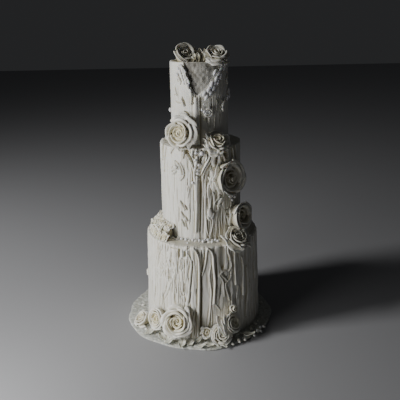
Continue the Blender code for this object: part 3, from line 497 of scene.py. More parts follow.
class Relief:
    """Height of the icing over a tier's unrolled side, kept on a fine grid."""

    def __init__(self, radius: float, base: float, top: float, step: float = 0.5 * MM) -> None:
        """Start a smooth side.

        Args:
            radius: Radius that the side is unrolled at.
            base: Height of its foot.
            top: Height of its rim.
            step: Distance between grid points.
        """
        self.radius = radius
        self.base = base
        self.columns = round(2.0 * math.pi * radius / step)
        self.arc = 2.0 * math.pi * radius / self.columns
        self.rows = round((top - base) / step) + 1
        self.rise = (top - base) / (self.rows - 1)
        self.height = np.zeros((self.rows, self.columns))
        self.floor = np.zeros((self.rows, self.columns))
        self.azimuth, self.level = np.meshgrid(np.arange(self.columns) * 360.0 / self.columns,
                                               base + np.arange(self.rows) * self.rise)

    def grain(self, seed: int, columns: int, cell: float,
              sway: np.ndarray | float = 0.0) -> np.ndarray:
        """Return noise over the side, from -1 to 1, with its azimuths moved by sway degrees."""
        return Grain(seed, columns, cell).sample(self.azimuth + sway, self.level)

    def stretch(self, first: float, last: float) -> np.ndarray:
        """Return 1 between two azimuths, with soft ends, and 0 elsewhere."""
        return ease((self.azimuth - first) / 20.0) * ease((last - self.azimuth) / 20.0)

    def lay(self, stroke: Stroke) -> None:
        """Lay one stroke over what is there."""
        stops = np.array([(math.radians(azimuth) * self.radius, height * MM)
                          for azimuth, height in stroke.path])
        points = smooth_path(stops, 4.0 * MM)
        share = np.linspace(0.0, 1.0, len(points))
        half = 0.5 * stroke.width * MM * np.interp(
            share, (0.0, 0.25, 0.75, 1.0), (stroke.start, 1.0, 1.0, stroke.end))
        reach = half.max()
        columns = np.arange(math.floor((points[:, 0].min() - reach) / self.arc),
                            math.ceil((points[:, 0].max() + reach) / self.arc) + 1)
        rows = np.arange(max(0, math.floor((points[:, 1].min() - reach - self.base) / self.rise)),
                         min(self.rows, math.ceil((points[:, 1].max() + reach - self.base)
                                                  / self.rise) + 1))
        if not len(rows):
            return
        across, up = np.meshgrid(columns * self.arc, self.base + rows * self.rise)
        nearest = np.full(across.shape, np.inf)
        for index in range(len(points) - 1):
            start, along = points[index], points[index + 1] - points[index]
            reached = ((across - start[0]) * along[0] + (up - start[1]) * along[1])
            reached = np.clip(reached / max(float(along @ along), 1e-12), 0.0, 1.0)
            apart = np.hypot(across - start[0] - reached * along[0],
                             up - start[1] - reached * along[1])
            width = half[index] + (half[index + 1] - half[index]) * reached
            nearest = np.minimum(nearest, apart / width)
        inside = np.clip(1.0 - nearest ** 2, 0.0, 1.0)
        lift = stroke.height * MM * inside ** stroke.section.value
        spot = np.ix_(rows, columns % self.columns)
        under = self.height[spot]
        hidden = stroke.cover * np.sqrt(inside) if stroke.height > 0 else 0.0
        level = self.floor[spot]
        self.height[spot] = level + (under - level) * (1.0 - hidden) + lift

    def lay_all(self, strokes: Sequence[Stroke]) -> None:
        """Lay strokes in their order."""
        for stroke in strokes:
            self.lay(stroke)

    def soften(self, values: np.ndarray, reach: int) -> np.ndarray:
        """Return values averaged over a square of grid points, closed round the cake."""
        across = sum(np.roll(values, shift, axis=1) for shift in range(-reach, reach + 1))
        across = across / (2 * reach + 1)
        padded = np.pad(across, ((reach, reach), (0, 0)), mode="edge")
        return sum(padded[shift:shift + self.rows] for shift in range(2 * reach + 1)) / (2 * reach + 1)

    def folds(self) -> np.ndarray:
        """Return how deep each grid point lies below the icing round it, 0 to 1."""
        near = (self.soften(self.height, 3) - self.height) / (0.5 * MM)
        wide = (self.soften(self.height, 9) - self.height) / (1.3 * MM)
        return np.clip(0.6 * near + 0.6 * wide, 0.0, 1.0)

    def read(self, values: np.ndarray, azimuth: np.ndarray, height: np.ndarray) -> np.ndarray:
        """Return grid values between grid points.

        Args:
            values: Values on the grid.
            azimuth: Azimuths in degrees.
            height: Heights, clipped to the side.

        Returns:
            One value for each azimuth and height.
        """
        across = (azimuth % 360.0) / 360.0 * self.columns
        up = np.clip((height - self.base) / self.rise, 0.0, self.rows - 1.001)
        column = np.floor(across).astype(int)
        row = np.floor(up).astype(int)
        right = across - column
        above = up - row
        here = values[row, column % self.columns] * (1 - right)
        here += values[row, (column + 1) % self.columns] * right
        over = values[row + 1, column % self.columns] * (1 - right)
        over += values[row + 1, (column + 1) % self.columns] * right
        return here * (1 - above) + over * above


# ---- tiers


@dataclass
class Tier:
    """One tier's coat of icing, spun from its outline and shaped by its relief.

    Attributes:
        node: Node that the coat stands for.
        base: Height of its foot.
        top: Height of its rim.
        foot_radius: Radius at the foot.
        top_radius: Radius at the rim.
        rim_round: Radius of the rim's rounding.
        columns: Steps round the tier.
        rows: Steps up the side.
        seed: Seed of everything that is drawn.
        wrap: Azimuth of the overlap that runs down its front, at the foot and at the rim.
        hidden_radius: Radius of the part of its top that the next tier covers.
        sink: How far the plain side lies inside the crests of its relief.
        step: How far the side drops back to the right of the wrap.
        step_reach: Degrees over which it comes back.
        step_top: Height below which it drops back.
        top_shade: How dark its top is towards the axis, 0 to 1.
    """

    node: str
    base: float
    top: float
    foot_radius: float
    top_radius: float
    rim_round: float
    columns: int
    rows: int
    seed: int
    wrap: Stop
    hidden_radius: float = 0.0
    sink: float = 1.0 * MM
    step: float = 2.0 * MM
    step_reach: float = 16.0
    step_top: float = 1.0
    top_shade: float = 0.45

    def lap(self, azimuth: np.ndarray, height: np.ndarray) -> np.ndarray:
        """Return how far the side drops back where the left flap laps over the right one."""
        edge = blend(*self.wrap, (height - self.base) / (self.top - self.base))
        past = wrapped(azimuth - edge - 1.2)
        drop = ease(past / 1.6) * np.exp(-np.maximum(past, 0.0) / self.step_reach)
        return self.step * drop * ease((self.step_top - height) / (8.0 * MM) + 0.5)

    def radius(self, height: float) -> float:
        """Return the plain radius of the side at a height."""
        share = (height - self.base) / (self.top - self.base)
        return blend(self.foot_radius, self.top_radius, min(max(share, 0.0), 1.0))

    def outline(self) -> list[Stop]:
        """Return radius and height of the coat's outline, from the axis below to the axis above."""
        shoulder = self.top - self.rim_round
        points = [(0.0, self.base), (0.97 * self.foot_radius, self.base)]
        for row in range(self.rows + 1):
            height = blend(self.base, shoulder, row / self.rows)
            points.append((self.radius(height), height))
        for step in range(1, 6):
            turn = math.radians(90.0 * step / 5)
            points.append((self.top_radius - self.rim_round * (1.0 - math.cos(turn)),
                           shoulder + self.rim_round * math.sin(turn)))
        ledge = self.top_radius - self.rim_round
        rings = round((ledge - self.hidden_radius) / (1.7 * MM))
        points += [(blend(ledge, self.hidden_radius, step / rings), self.top)
                   for step in range(1, rings + 1)]
        if self.hidden_radius > 0.0:
            points += [(0.5 * self.hidden_radius, self.top), (0.0, self.top)]
        return points

    def strokes(self) -> list[Stroke]:
        """Return the strokes of icing on the side, in the order that they are laid."""
        return []

    def texture(self, relief: Relief) -> None:
        """Shape the side's own uneven surface, before any stroke is laid."""

    def recess(self, azimuth: np.ndarray, height: np.ndarray) -> np.ndarray:
        """Return how far the side is set back, such as inside a neckline."""
        return np.zeros_like(azimuth)

    def grey_shade(self, azimuth: np.ndarray, height: np.ndarray) -> np.ndarray:
        """Return how much grey shade is painted on the icing beside its folds' painted shade, 0 to 1."""
        return np.zeros_like(azimuth)

    def spread_columns(self, azimuth: np.ndarray) -> np.ndarray:
        """Return azimuths moved so that more columns lie at the front and at the wrap."""
        fine = np.linspace(0.0, 360.0, 1441)
        off_wrap = wrapped(fine - self.wrap[0])
        density = 1.0 + 0.38 * np.cos(np.radians(fine)) + 0.8 * np.exp(-(off_wrap / 6.0) ** 2)
        total = np.concatenate([[0.0], np.cumsum(0.5 * (density[1:] + density[:-1]))])
        return np.interp(azimuth % 360.0, 360.0 * total / total[-1], fine)

    def build(self) -> Piece:
        """Build the coat and return its piece."""
        relief = Relief(0.5 * (self.foot_radius + self.top_radius), self.base, self.top)
        self.texture(relief)
        relief.floor = -self.sink - self.lap(relief.azimuth, relief.level)
        relief.height += relief.floor
        relief.lay_all(self.strokes())
        bm = bmesh.new()
        revolve(bm, self.outline(), self.columns)
        piece = finish_piece(self.node + "_coat", bm, Finish.COAT, self.node)
        mesh = piece.data
        azimuth, plain, level = places(mesh)
        azimuth = self.spread_columns(azimuth)
        shoulder = self.top - self.rim_round
        outwards = np.where(level <= self.base + 1e-6, 0.0, 1.0)
        bend = np.arctan2(level - shoulder, plain - (self.top_radius - self.rim_round))
        on_rim = level > shoulder
        outwards = np.where(on_rim, np.clip(np.cos(bend), 0.0, 1.0), outwards)
        upwards = np.where(on_rim, np.clip(np.sin(bend), 0.0, 1.0), 0.0)
        lift = relief.read(relief.height, azimuth, level)
        lump = Grain(self.seed + 7, 34, 9 * MM).sample(azimuth, plain)
        lump += 0.6 * Grain(self.seed + 8, 90, 4 * MM).sample(azimuth, plain)
        inner = ease((self.top_radius - self.rim_round - plain) / (4.0 * MM))
        lift_up = lift * (1.0 - inner) + 0.7 * MM * lump * inner
        back = self.recess(azimuth, level) * (plain / self.top_radius) ** 5
        move_points(mesh, azimuth, plain + lift * outwards - back, level + upwards * lift_up)
        # Painted shade: darker in the relief's folds and on the top towards the axis; the grey shade
        # painted inside the neckline goes in the second number.
        folds = relief.read(relief.folds(), azimuth, level)
        ledge = ease((self.top_radius - plain) / (8.0 * MM)) * (level > self.top - 0.5 * MM)
        dark = np.clip(folds * outwards + self.top_shade * ledge, 0.0, 1.0)
        store(mesh, PAINTED_SHADE, dark)
        store(mesh, HEART_TINT_AND_SHADE, np.clip(self.grey_shade(azimuth, level) * outwards, 0.0, 1.0))
        return piece


def stops_of(flat: Sequence[float]) -> tuple[Stop, ...]:
    """Return the stops of a path that is written as azimuth, height, azimuth, height and so on."""
    return tuple(zip(flat[::2], flat[1::2]))


def cuts(width: float, depth: float, *paths: tuple[float, ...]) -> list[Stroke]:
    """Return grooves of one width and depth that narrow at both ends."""
    return [Stroke(stops_of(path), width, -depth, Section.SOFT, 0.6, 0.6) for path in paths]


def ridges(width: float, height: float, ends: Stop, *paths: tuple[float, ...]) -> list[Stroke]:
    """Return round ridges of one width and height, whose ends are given as shares of the width."""
    return [Stroke(stops_of(path), width, height, Section.ROUND, *ends, 0.9) for path in paths]


def pits(width: float, depth: float, *paths: tuple[float, ...]) -> list[Stroke]:
    """Return steep-sided pits of one width and depth."""
    return [Stroke(stops_of(path), width, -depth, Section.ROUND, 0.8, 0.8) for path in paths]


def drawn_drips(draw: random.Random, first: float, last: float, spacing: float, rim: float,
                foot: float, height: Stop, width: Stop, run_share: float,
                wander: float = 0.5) -> list[Stroke]:
    """Return drips of drawn lengths side by side, each from the rim down.

    Args:
        draw: Source of the drawn sizes.
        first: First azimuth.
        last: Last azimuth.
        spacing: Degrees from one drip to the next.
        rim: Height of the rim in millimetres.
        foot: Height of the foot in millimetres.
        height: Least and greatest height of a drip above the side.
        width: Least and greatest width of a drip.
        run_share: Share of the drips that run down to the foot.
        wander: How many degrees a drip strays.

    Returns:
        The drips as strokes.
    """
    drips = []
    count = max(1, round((last - first) / spacing))
    for index in range(count):
        azimuth = blend(first, last, (index + 0.5) / count) + draw.uniform(-0.3, 0.3) * spacing
        tip = foot if draw.random() < run_share else blend(foot, rim, draw.uniform(0.1, 0.75))
        stops = max(3, round((rim - tip) / 28.0))
        path = [(azimuth + draw.uniform(-wander, wander), blend(rim, tip, stop / (stops - 1)))
                for stop in range(stops)]
        drips.append(Stroke(tuple(path), draw.uniform(*width), draw.uniform(*height),
                            Section.ROUND, 0.8, draw.uniform(1.0, 1.25)))
    return drips


def drawn_scratches(draw: random.Random, first: float, last: float, low: float, high: float,
                    count: int, height: Stop, width: Stop, length: Stop) -> list[Stroke]:
    """Return short upright strokes, raised or cut in, scattered over a stretch of a side."""
    scratches = []
    for _ in range(count):
        azimuth = draw.uniform(first, last)
        middle = draw.uniform(low, high)
        reach = 0.5 * draw.uniform(*length)
        lean = draw.uniform(-0.9, 0.9)
        path = ((azimuth - lean, middle - reach), (azimuth + draw.uniform(-0.4, 0.4), middle),
                (azimuth + lean, middle + reach))
        scratches.append(Stroke(path, draw.uniform(*width), draw.uniform(*height),
                                Section.SOFT, 0.3, 0.3, 0.3))
    return scratches


@dataclass
class BottomTier(Tier):
    """The wide tier, all run down with wax-like drips and flutes.

    Attributes:
        patch_middle: Azimuth and height of the middle of its dimpled patch.
        patch_reach: How far the patch reaches, in degrees and upwards.
        broad: Azimuth in degrees and height in millimetres of each broad flute.
    """

    patch_middle: Stop = (326.0, 137.0 * MM)
    patch_reach: Stop = (11.0, 24.0 * MM)
    broad: tuple[Stop, ...] = (
        (-84, 1.4), (-68, 1), (-60.5, 1.4), (-52.5, 1), (-44.5, 1.2), (-36.5, 1),
        (-29, 1.2), (-15.5, 1.6), (-9.3, 1.8), (42, 1.6), (61.5, 1.8), (79, 2))

    def texture(self, relief: Relief) -> None:
        """Shape fine lines that wander upwards, like bark."""
        sway = 1.5 * relief.grain(self.seed, 60, 26 * MM)
        lines = relief.grain(self.seed + 1, 170, 38 * MM, sway)
        fine = relief.grain(self.seed + 2, 330, 16 * MM, 0.6 * sway)
        relief.height += 1.5 * MM * np.abs(lines) ** 0.7 + 0.5 * MM * np.abs(fine)
        across = (relief.azimuth - self.patch_middle[0]) / self.patch_reach[0]
        up = (relief.level - self.patch_middle[1]) / self.patch_reach[1]
        dimples = relief.grain(self.seed + 5, 260, 2.8 * MM)
        relief.height += 1.1 * MM * np.exp(-(across ** 2 + up ** 2)) * dimples

    def strokes(self) -> list[Stroke]:
        """Return the flutes, drips, wrap rib, arch and patches of the side."""
        draw = random.Random(self.seed)
        rim = self.top / MM
        flutes = [Stroke(((azimuth, 0.0), (azimuth + draw.uniform(-0.7, 0.7), 60.0),
                          (azimuth + draw.uniform(-0.7, 0.7), 120.0), (azimuth, rim)),
                         10.0, depth, Section.SOFT, cover=0.15)
                  for azimuth, depth in self.broad]
        left = drawn_drips(draw, -90.0, -6.0, 4.5, rim, 4.0, (0.6, 1.5), (3.2, 5.2), 0.35, 0.9)
        right = drawn_drips(draw, 28.0, 90.0, 5.2, rim, 4.0, (1.0, 2.4), (3.2, 5.4), 0.5)
        back = drawn_drips(draw, 90.0, 270.0, 4.2, rim, 4.0, (0.7, 2.0), (3.4, 6.0), 0.4)
        scratches = drawn_scratches(draw, -90.0, -6.0, 20.0, 165.0, 80, (-2.5, -1.0), (1.6, 2.8),
                                    (6.0, 34.0))
        scratches += drawn_scratches(draw, 24.0, 270.0, 20.0, 168.0, 150, (-2.2, -0.9), (1.8, 3.0),
                                     (14.0, 50.0))
        return flutes + left + right + back + scratches + self.front()

    def front(self) -> list[Stroke]:
        """Return the strokes that the front shows one by one."""
        return [
            *ridges(3.6, 1.6, (0.7, 0.6), (-70, 176, -73.5, 141, -76.5, 108),
                (-64.5, 176, -65.5, 147, -68.5, 111), (-58, 176, -58.5, 165, -60, 134)),
            *ridges(3.0, 1.2, (0.5, 0.5), (-55, 150, -56.5, 133, -57, 117),
                (-77, 90, -70.5, 73, -75, 42), (-63, 102, -62.5, 77, -62.5, 51),
                (-53.5, 92, -54, 75, -53.5, 56), (-46, 97, -47, 77, -48, 61),
                (-26, 113, -25.5, 94, -26, 75), (-31, 113, -30.5, 92, -30.5, 68)),
            *cuts(2.0, 2.6, (-40, 176, -39.5, 164), (-36.5, 176, -36, 170, -37, 162),
                (-33.5, 170, -29, 171, -24.5, 171), (-32.5, 161, -33, 147, -33.5, 134),
                (-18, 152, -18.5, 131), (-22.5, 111, -22.5, 95, -21, 86, -19, 85, -18, 93, -17.5, 118),
                (-29, 97, -29.5, 81, -29.5, 67), (-22, 156, -21.5, 146, -22.5, 132)),
            *cuts(1.8, 2.2, (-35.5, 130, -36, 119, -36, 108), (-33, 105, -37, 84, -43, 66),
                (-37.5, 105, -41, 84, -46.5, 65), (-48.5, 105, -48, 79, -51, 49),
                (-52.5, 121, -53, 87, -54, 50), (-56.5, 134, -57.5, 89, -60, 45),
                (-63.5, 112, -65, 77, -67, 47), (-25, 151, -25.5, 139, -25, 124),
                (-27, 123, -27.5, 107, -27, 88), (-25, 108, -24.5, 89, -25, 69), (-21, 80, -20, 69),
                (-17, 92, -17.5, 73), (-31.5, 113, -31.5, 100, -32, 86)),
            *cuts(1.7, 2.4, (-45, 142, -43.5, 137, -41, 132), (-49, 128, -47, 124, -45.5, 119),
                (-42.5, 130, -39.5, 124, -37, 117), (-40.5, 127, -40, 120, -40.5, 111),
                (-39, 116, -38.5, 110), (-37, 117, -36, 106), (-52, 115, -49, 112, -46.5, 109),
                (-47.5, 109, -44.5, 117, -42, 126), (-37.5, 151, -39, 141), (-45, 154, -42, 150),
                (-52.5, 128, -51.5, 125), (-34.5, 127, -33.5, 112), (-48, 174, -50.5, 165, -49, 157),
                (-43, 174, -44.5, 160), (-31.5, 132, -30, 122)),
            *cuts(1.6, 2.0, (-23.5, 153, -24.5, 142), (-23, 147, -20, 143), (-24, 142, -23, 135),
                (-20, 138, -21.5, 130), (-29.5, 133, -28, 128), (-43, 65, -44, 60),
                (-38, 67, -36.5, 64), (-54.5, 108, -52.5, 101)),
            *pits(5.0, 5.0, (-23.5, 170, -24, 163, -24, 157), (-17.5, 167, -17.5, 160)),
            *cuts(2.4, 2.8, (-16.5, 170, -14, 174, -12.5, 176)),
            *ridges(3.6, 3.0, (0.7, 0.6), (-20.5, 170, -20, 160, -22, 153),
                (-19.5, 157, -16.5, 155, -16, 142, -16.5, 126, -17.5, 110)),
            *ridges(4.0, 3.4, (0.7, 0.8),
                (-15.5, 166, -12, 155, -11, 145, -12, 132, -12.5, 119, -13.5, 99, -14.5, 79)),
            *ridges(3.0, 2.4, (0.5, 0.7), (-8.5, 153, -8, 132, -8.5, 112, -9, 96),
                (-15.5, 118, -16.5, 100, -17, 84)),
            *cuts(2.4, 3.6, (-9.5, 153, -10, 134, -11.5, 111, -12.5, 99), (-12, 93, -13, 82, -14, 71),
                (-6.5, 100, -7, 89), (-19, 110, -19.5, 91)),
            *ridges(5.4, 4.2, (0.6, 1.1),
                (-9, 175, -6, 169, -4, 158, -3.5, 138, -3.5, 107, -4, 80, -5, 53, -5.5, 25, -5.5, 9)),
            Stroke(((-2, 127), (-2, 102), (-2.5, 64), (-3.5, 14)), 5.6, -5.0, Section.SOFT, 0.7, 1.0),
            *cuts(3.0, 3.4, (-1, 170, -0.5, 152, -1, 132), (2.5, 172, 1, 149, -0.5, 132)),
            *ridges(3.2, 3.0, (0.8, 0.7), (4.5, 174, 3.5, 160, 2.5, 148, 0.5, 132, -1, 125)),
            *ridges(4.6, 0.9, (0.5, 1.0), (2, 116, 2.5, 89, 2, 64, 0.5, 32)),
            *ridges(5.0, 4.2, (0.7, 1.1),
                (5, 175, 8.5, 169, 10, 159, 10.5, 138, 11.5, 113, 11, 94, 10, 72)),
            *cuts(3.6, 4.0, (13, 162, 13.5, 144, 13.5, 123, 12.5, 98, 12, 73)),
            *ridges(3.4, 2.8, (0.6, 0.9), (7.5, 142, 6, 124, 7, 106, 7.5, 95, 7, 76, 6, 57, 4.5, 32)),
            *cuts(2.0, 2.4, (9, 131, 9, 116, 8.5, 101), (6.5, 115, 7, 114)),
            *ridges(2.8, 2.4, (0.4, 1.0), (7.5, 65, 7.5, 50, 7.5, 30), (7.5, 71, 12, 68, 15.5, 58)),
            Stroke(((20, 174), (20, 154), (20, 136)), 15.0, 0.1, Section.ROUND, 0.8, 0.7, 1.0),
            Stroke(((20, 174), (20, 154), (20, 136)), 13.0, -3.6, Section.ROUND, 0.7, 0.6),
            *ridges(3.0, 3.2, (0.6, 1.2), (25, 173, 25.5, 163, 27.5, 153, 27.5, 149),
                (28.5, 144, 29, 136, 26, 129), (23, 130, 19, 129, 15.5, 123)),
            *ridges(3.0, 3.0, (0.8, 0.8), (16, 123, 19.5, 111, 20.5, 90, 20.5, 82),
                (28.5, 118, 25, 110, 22, 106, 23, 93, 25.5, 78, 26, 72),
                (18, 124, 21.5, 116, 25, 110, 27, 113)),
            *cuts(2.4, 2.8, (21, 125, 23.5, 117, 26.5, 121), (17.5, 106, 17.5, 86), (25, 99, 27.5, 82),
                (29.5, 124, 30, 106), (14, 105, 14, 90)),
            *ridges(2.6, 2.4, (0.6, 0.7), (14.5, 101, 14.5, 79), (30, 93, 30, 83),
                (37, 95, 35.5, 84, 34.5, 70), (36.5, 150, 37.5, 134, 37, 115)),
            *ridges(3.4, 4.4, (0.7, 1.5), (29.5, 171, 32.5, 162, 32.5, 143, 33, 118, 33.5, 100),
                (41.5, 147, 43, 125, 42.5, 99, 42.5, 86, 42.5, 75)),
            *ridges(4.8, 4.2, (0.5, 0.9), (48, 125, 50, 101, 50, 74, 48, 56, 46.5, 30),
                (63, 174, 65.5, 142, 63.5, 121, 64.5, 104)),
            *ridges(6.5, 4.4, (0.6, 1.0), (63.5, 108, 65, 98, 65.5, 91)),
            *ridges(3.0, 2.4, (0.5, 0.9), (58, 75, 58.5, 52, 59, 27), (65.5, 36, 66, 24, 65.5, 13)),
            Stroke(((-84, 96), (-81, 88)), 7.0, 4.6, Section.SHARP, 0.6, 1.0),
        ]


@dataclass
class MiddleTier(Tier):
    """The middle tier: dragged smooth on its left, pleated on its right."""

    def texture(self, relief: Relief) -> None:
        """Shape faint upright lines, deeper on the right."""
        side = ease(relief.azimuth / 8.0) * ease((90.0 - relief.azimuth) / 20.0)
        sway = 1.6 * relief.grain(self.seed, 30, 40 * MM)
        lines = np.abs(relief.grain(self.seed + 1, 110, 60 * MM, sway))
        fine = np.abs(relief.grain(self.seed + 2, 220, 30 * MM, sway))
        depth = 0.5 + 0.9 * side + 0.8 * relief.stretch(90.0, 280.0)
        relief.height += MM * (depth * lines + 0.3 * fine)

    def strokes(self) -> list[Stroke]:
        """Return the flutes, drips, swag, beads, shells and leaf strokes of the side."""
        draw = random.Random(self.seed)
        rim = self.top / MM
        low = self.base / MM
        strokes = []
        for azimuth, depth, top in ((5.0, 1.8, 286.0), (11.5, 2.0, 290.0), (18.0, 1.9, 290.0),
                                    (25.0, 2.2, 284.0), (34.0, 1.6, 262.0), (46.0, 1.4, 260.0),
                                    (74.0, 1.6, rim)):
            strokes.append(Stroke(((azimuth, low), (azimuth + draw.uniform(-1.2, 1.2), 225.0),
                                   (azimuth + draw.uniform(-1.2, 1.2), 260.0), (azimuth, top)),
                                  6.4, depth, Section.SOFT, 1.0, 0.5, 0.3))
        strokes += drawn_drips(draw, 80.0, 278.0, 6.5, rim, low + 4.0, (0.6, 1.8), (3.6, 6.5), 0.35)
        strokes += drawn_scratches(draw, -84.0, -8.0, low + 12, rim - 12, 46, (-1.1, 0.8),
                                   (1.4, 2.6), (20.0, 60.0))
        strokes += drawn_scratches(draw, 3.0, 80.0, low + 8, rim - 60, 24, (-1.0, 0.8), (1.4, 3.0),
                                   (12.0, 40.0))
        strokes += drawn_scratches(draw, 80.0, 278.0, low + 8, rim - 12, 56, (-0.8, 0.7), (1.4, 3.0),
                                   (16.0, 50.0))
        return strokes + self.swag() + self.front()

    def swag(self) -> list[Stroke]:
        """Return the draped folds and hollows that hang from the waist."""
        return [
            Stroke(((-29, 338), (-23, 336), (-17.5, 331), (-12.5, 320), (-9.5, 309)), 9.0, -5.6,
                Section.ROUND, 0.9, 0.5),
            *cuts(9.0, 5.0, (2, 337, 2.5, 326), (35, 335, 37.5, 325, 35, 316)),
            *cuts(6.0, 5.0, (0.5, 324, -0.5, 316), (-5.5, 329, -3.5, 319)),
            *ridges(10.0, 5.2, (0.8, 0.6), (20, 338, 19, 331, 16.5, 322, 17, 310)),
            *ridges(8.5, 5.0, (0.8, 0.7), (27, 338, 27.5, 328, 25.5, 316, 23.5, 305)),
            *ridges(3.4, 3.0, (0.8, 0.8), (-23, 336, -23.5, 329, -25, 323),
                (-20, 329, -15, 320, -10.5, 307, -9, 294), (-15.5, 333, -10, 321, -8.5, 311)),
            *ridges(5.0, 5.0, (0.7, 1.1), (-8, 338, -10.5, 338, -11.5, 330)),
            *ridges(3.6, 4.4, (0.6, 0.9), (-4.5, 338, -5.5, 338, -7.5, 332)),
            *ridges(6.0, 4.4, (0.8, 0.7), (-5, 326, -5.5, 319, -7, 309)),
            *ridges(5.6, 3.4, (0.7, 1.0), (-7, 311, -9, 296, -8, 281, -7.5, 252)),
            *ridges(4.4, 5.2, (0.8, 0.5),
                (3.5, 338, 9, 338, 12.5, 331, 10.5, 322, 6.5, 313, 3, 305, 0.5, 298)),
            *ridges(3.2, 4.2, (0.7, 0.6), (15.5, 333, 16, 325, 12.5, 317, 8, 309, 4, 299, 1.5, 283),
                (7.5, 330, 8, 325, 6, 319)),
            *ridges(4.4, 4.8, (0.9, 1.2), (27, 338, 28, 331, 32, 323, 34, 316)),
            *cuts(2.6, 3.4, (20, 332, 22, 317, 19.5, 300), (26, 327, 28, 316, 25.5, 305),
                (15, 310, 14, 299, 16, 287), (11.5, 301, 10, 288, 11.5, 276)),
            *ridges(4.2, 3.4, (0.7, 0.8), (23, 294, 19.5, 283, 17.5, 272),
                (14, 284, 19, 273, 25.5, 266), (10, 280, 9, 269, 9.5, 255)),
            *cuts(3.4, 4.0, (21, 279, 18.5, 277), (14.5, 276, 13, 270), (16, 266, 19, 260)),
            *ridges(3.6, 3.2, (0.8, 0.9), (56.5, 334, 61.5, 320, 67, 306),
                (49, 334, 50.5, 324, 52, 316)),
            *ridges(3.0, 2.4, (0.5, 0.5), (3.5, 296, 2.5, 281, 3, 256), (7, 296, 5.5, 281, 6.5, 253),
                (13.5, 260, 12.5, 243, 11.5, 223)),
        ]

    def front(self) -> list[Stroke]:
        """Return the strokes that the front shows one by one."""
        return [
            *cuts(6.4, 2.8, (-1, 293, -1, 260, -2, 225, -3, 194)),
            *ridges(5.0, 3.4, (0.6, 1.0), (-5.5, 293, -6, 269, -6.5, 243, -7.5, 219, -8.5, 194)),
            *ridges(7.0, 4.0, (0.9, 1.2), (-67, 338, -70, 330, -71, 315)),
            *ridges(3.4, 2.2, (0.7, 0.6), (-56.5, 337, -62.5, 316, -65.5, 290)),
            *ridges(4.2, 3.2, (0.8, 1.3), (55.5, 338, 58, 325, 61, 310)),
            *ridges(3.0, 2.6, (0.8, 1.0), (-39.5, 338, -42, 336, -45.5, 329),
                (-30, 314, -25.5, 305, -24.5, 293, -29.5, 285)),
            *cuts(2.8, 4.2, (-32.5, 313, -28, 303, -27, 293), (-38.5, 316, -34.5, 314, -32, 310)),
            *ridges(2.4, 2.0, (0.5, 1.1), (-38, 303, -44, 306), (-38, 302, -45.5, 299),
                (-37, 300, -43.5, 293), (-36, 305, -39.5, 312)),
            *cuts(2.4, 3.8, (-40.5, 307, -45.5, 302), (-41, 298, -45, 296), (-35.5, 298, -39, 292)),
            *ridges(2.8, 2.2, (0.5, 0.7), (-32, 247, -29.5, 242, -27, 237),
                (-26, 241, -23.5, 237, -21.5, 233), (-31, 228, -28.5, 223, -26.5, 218),
                (-26, 221, -23.5, 217, -21.5, 212), (-31, 213, -28.5, 208, -26, 202)),
            *cuts(2.4, 3.8, (-30, 247, -27, 242, -25, 238), (-24, 241, -21.5, 237, -19.5, 233),
                (-29, 228, -26.5, 223, -24, 218), (-24, 221, -21.5, 217, -19, 212),
                (-29, 214, -26, 208, -24, 202)),
            *cuts(2.6, 2.6, (-25.5, 240, -23.5, 231), (-24, 213, -21.5, 202, -20, 196)),
            *cuts(1.5, 1.4, (-62.5, 258, -63, 231, -66.5, 205), (-52, 273, -52.5, 243),
                (-44, 260, -44.5, 220), (-36, 273, -36, 241), (-15, 283, -15.5, 251, -16.5, 211),
                (-19, 289, -19, 265), (-51, 222, -51.5, 195), (-33, 234, -34.5, 208),
                (-11, 269, -11.5, 230)),
            *ridges(2.2, 1.4, (0.5, 0.5), (-20.5, 279, -17.5, 269, -19.5, 254),
                (-13.5, 307, -13, 290, -14.5, 272), (-18, 244, -17, 226, -18.5, 207)),
            *ridges(2.8, 3.2, (0.6, 0.8), (17, 242, 21, 249, 27.5, 256),
                (21.5, 239, 26.5, 243, 31, 250)),
            *cuts(2.4, 3.2, (19.5, 241, 24, 247, 29, 252), (30, 237, 33, 245)),
            *ridges(2.6, 2.8, (0.7, 0.6), (5.5, 220, 6, 212, 6.5, 199, 8.5, 186),
                (15, 218, 15, 207, 13, 194, 10, 184)),
            *ridges(2.2, 2.4, (0.6, 0.6), (6, 219, 10, 221, 13.5, 220), (8, 227, 12, 230),
                (11.5, 223, 15.5, 226)),
            *cuts(2.0, 2.6, (10.5, 217, 11, 204, 11, 193), (8.5, 234, 13.5, 235), (12.5, 230, 17, 223)),
            *ridges(3.0, 3.0, (0.6, 0.6), (36.5, 227, 33.5, 216, 35.5, 201),
                (40.5, 227, 42.5, 213, 38.5, 200)),
            *cuts(2.2, 2.4, (38, 222, 38.5, 205), (47.5, 221, 48.5, 202), (25, 238, 23.5, 209, 24, 183),
                (18, 239, 18.5, 210, 17, 181), (3, 258, 2.5, 226, 1.5, 190)),
            *ridges(3.0, 2.2, (0.6, 0.6), (30, 233, 28, 215, 29.5, 195),
                (21.5, 231, 20.5, 213, 21, 189), (5, 258, 5, 244, 4, 230),
                (10.5, 268, 10.5, 254, 10, 244), (16, 271, 16, 257)),
        ]


